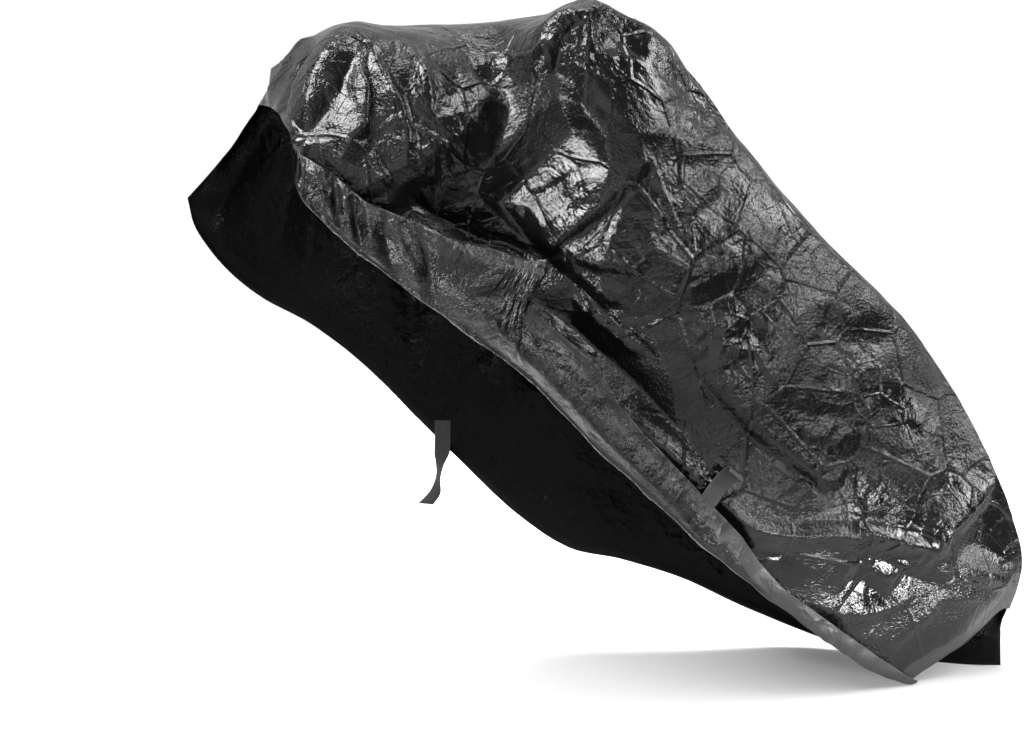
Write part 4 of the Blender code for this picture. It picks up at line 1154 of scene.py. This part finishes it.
def woven(name, tone_and_shade):
    """Black polyester webbing: ribs along it, crossed by the weft, with tighter edges.
    Its height is the product of two sines of the cloth coordinates, so that yarns go over and under.
    The last argument is how many times as light as base black webbing the tie looks: the near tie's own
    tone, and for the far tie a painted shade."""
    weave = Finish(name)
    threads = weave.node("UVMap", {"uv_map": "threads"})
    across = weave.node("SeparateXYZ", None, 0, Vector=threads)
    along = weave.node("SeparateXYZ", None, 1, Vector=threads)
    where = weave.node("TexCoord", None, 3)
    rib = across.wave(RIB_PITCH)
    pick = along.wave(PICK_PITCH)
    edge = across.maths("ABSOLUTE", across).fit(*(TIE_WIDTH / 2 - inset for inset in TIGHT_EDGE))
    fuzz = weave.node("TexNoise", None, 0, Vector=where, Scale=900.0, Detail=2.0)
    worn = weave.node("TexNoise", None, 0, Vector=where, Scale=60.0, Detail=3.0).fit(0.35, 0.7)
    height = rib * pick * 0.00010 + fuzz * 0.00012 + edge * 0.00012
    shade = (0.5 + 0.5 * rib * pick) * 0.5 + 0.35 * worn + 0.15 * fuzz
    dark = (0.010 * tone_and_shade, 0.011 * tone_and_shade, 0.011 * tone_and_shade, 1)
    light = (0.034 * tone_and_shade, 0.036 * tone_and_shade, 0.035 * tone_and_shade, 1)
    weave.colour(weave.mix(shade, dark, light), 0.78 - 0.15 * edge + 0.08 * worn, height)
    return weave.material


thread = Finish("black_thread")
thread_place = thread.node("TexCoord", None, 3)
strands = thread.node("TexNoise", None, 0, Vector=thread_place, Scale=1500.0, Detail=1.0)
thread_colour = thread.mix(strands, (0.010, 0.010, 0.010, 1), (0.050, 0.050, 0.050, 1))
thread.put(thread.shader, "Base Color", thread_colour)
thread.put(thread.shader, "Roughness", 0.45 + 0.2 * strands)


def tie(name, node, line, across, webbing):
    """One tie with its stitching, in place of its CAD node."""
    grid, cloth_places, face = tie_grid(line, across)
    mesh = grid_mesh(name, grid, cloth_places)
    strap = bpy.data.objects.new(name, mesh)
    bpy.context.scene.collection.objects.link(strap)
    solid = strap.modifiers.new("thickness", "SOLIDIFY")
    solid.thickness = TIE_THICKNESS
    solid.offset = 0
    mesh.materials.append(webbing)
    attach(strap, "root")
    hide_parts(node)
    toward = 1 if face[0, 1] < 0 else -1
    sewn = stitches(name + "_stitches", grid, cloth_places, face, toward * TIE_THICKNESS / 2)
    sewn.data.materials.append(thread.material)
    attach(sewn, "root")


hem_place, inward, out, back = at_hem(NEAR_TIE_STATION, -1, -6)
out = out if out[1] < 0 else -out
way = back * math.sin(NEAR_TIE_LEAN) - inward * math.cos(NEAR_TIE_LEAN)
across = np.cross(out, way)
line = hem_place - out * CUFF_GAP / 2 + NEAR_TIE[:, :1] * way + NEAR_TIE[:, 1:] * out
line += out * (room(spots_across(line[[0, 2]], across), out) - TIE_GAP - TIE_THICKNESS / 2)
# past the hem it lies on the near side, clear of the folds there
for k in range(3, len(line)):
    above = spots_across(line[[k, k]] + out * OVER, across)
    line[k] += out * max(0, TIE_CLEARANCE + OVER - room(above, -out))
tie("near_tie", "near_strap", line, np.tile(across, (len(line), 1)), woven("webbing", 2.0))

hem_place, _, out, _ = at_hem(FAR_TIE_STATION, 0, 5)
out = out if out[1] > 0 else -out
forward = unit(np.array([-1, 0, 0]) - out * -out[0])
down = np.cross(forward, out)
down = down if down[2] < 0 else -down
ahead, below, inside, turned = FAR_TIE.T[:, :, None]
line = hem_place - out * CUFF_GAP + ahead * forward + below * down - inside * out
across = forward * np.cos(np.radians(turned)) + out * np.sin(np.radians(turned))
line += out * (room(spots_across(line[:2], forward), out) - TIE_GAP - TIE_THICKNESS / 2)
# the far tie's webbing is darker than the near one's: a painted shade, as it hangs in the shadow of the
# cover
tie("far_tie", "far_strap", line, across, woven("webbing_in_painted_shade", 0.8))

# --- Floor and light --------------------------------------------------------------------------
# A round pale floor under and behind the cover fades out into a white studio. Large soft boxes stand
# to the left, above and to the right, small ones with a narrow spread pick out the low back, the
# tail, the cuff and the bunched front, and two washes light the floor.
FLOOR_RADIUS = 2.6
FLOOR_BACK = 1.3
FADE = 1.4
rings, turns = np.meshgrid(np.linspace(0, FLOOR_RADIUS, 7), np.linspace(0, 2 * np.pi, 73), indexing="ij")
floor_grid = [rings * np.cos(turns), rings * np.sin(turns) + FLOOR_BACK, rings * 0 + floor_height]
floor_grid = np.stack(floor_grid, -1)
floor_mesh = grid_mesh("floor", floor_grid[:, ::-1], floor_grid[..., :2])
attribute(floor_mesh, "out", rings)
floor = bpy.data.objects.new("floor", floor_mesh)
bpy.context.scene.collection.objects.link(floor)
paper = Finish("floor_paper")
paper.put(paper.shader, "Base Color", (0.86, 0.86, 0.86, 1))
paper.put(paper.shader, "Roughness", 0.9)
out = paper.node("Attribute", {"attribute_name": "out"}, output=2)
paper.put(paper.shader, "Alpha", 1 - out.fit(FLOOR_RADIUS - FADE, FLOOR_RADIUS))
floor_mesh.materials.append(paper.material)

middle = (box_low + box_high) / 2
# name, way from the cover's middle, what it points at from there, width, height, watts, spread in degrees
LIGHTS = (
    ("left_box", (-1.62, -1.06, 2.4), (0.0, 0.0, 0.1), 1.54, 1.5, 148, 180),
    ("top_box", (0.4, -0.2, 2.8), (0.0, 0.0, 0.0), 1.2, 0.7, 30, 180),
    ("right_box", (2.6, -0.3, 1.8), (0.0, 0.0, 0.0), 0.7, 1.4, 42, 180),
    ("grid_box", (1.34, -1.24, -0.45), (0.64, -0.30, -0.50), 1.1, 0.36, 1.9, 18),
    ("tail_box", (1.63, -0.27, 0.0), (0.75, -0.19, -0.30), 0.7, 0.35, 0.5, 30),
    ("cuff_box", (0.94, -1.17, 0.40), (-0.02, -0.27, -0.08), 0.9, 0.6, 0.45, 26),
    ("front_box", (-1.25, -1.05, -0.26), (-0.40, -0.28, 0.26), 0.8, 0.6, 1.0, 26),
    ("front_wash", (0.75, -0.95, 1.2), (0.75, -0.95, -0.6), 0.9, 0.6, 2.5, 60),
    ("floor_wash", (0.2, 1.6, 3.0), (0.2, 1.6, 0.0), 3.0, 1.2, 90, 60),
)
for name, way, aim, width, height, watts, spread in LIGHTS:
    lamp = bpy.data.lights.new(name, "AREA")
    lamp.shape = "RECTANGLE"
    lamp.size, lamp.size_y, lamp.energy = width, height, watts
    lamp.spread = math.radians(spread)
    holder = bpy.data.objects.new(name, lamp)
    holder.location = middle + Vector(way)
    holder.rotation_euler = (Vector(aim) - Vector(way)).to_track_quat("-Z", "Y").to_euler()
    holder.visible_camera = False
    bpy.context.scene.collection.objects.link(holder)

world = bpy.data.worlds.new("studio")
world.use_nodes = True
sky = Nodes(world.node_tree)
background = world.node_tree.nodes["Background"]
direction = sky.node("TexCoord", None, 0)
way_there = sky.node("SeparateXYZ", None, 1, Vector=direction)
above = sky.node("SeparateXYZ", None, 2, Vector=direction)
seen = sky.node("LightPath", None, 0)
# what the gloss mirrors is a dim room with a pale wall in front, down to the floor, and one behind
front_wall = (0 - way_there).fit(0.74, 0.97) * above.fit(-0.80, -0.45)
back_wall = way_there.fit(-0.1, 0.5)
lit = 0.10 + 1.04 * front_wall + 0.60 * back_wall
sky.put(background, "Strength", lit * (1 - seen) + 1.05 * seen)
background.inputs["Color"].default_value = (1, 1, 1, 1)
bpy.context.scene.world = world
bpy.context.scene.view_settings.view_transform = "Standard"
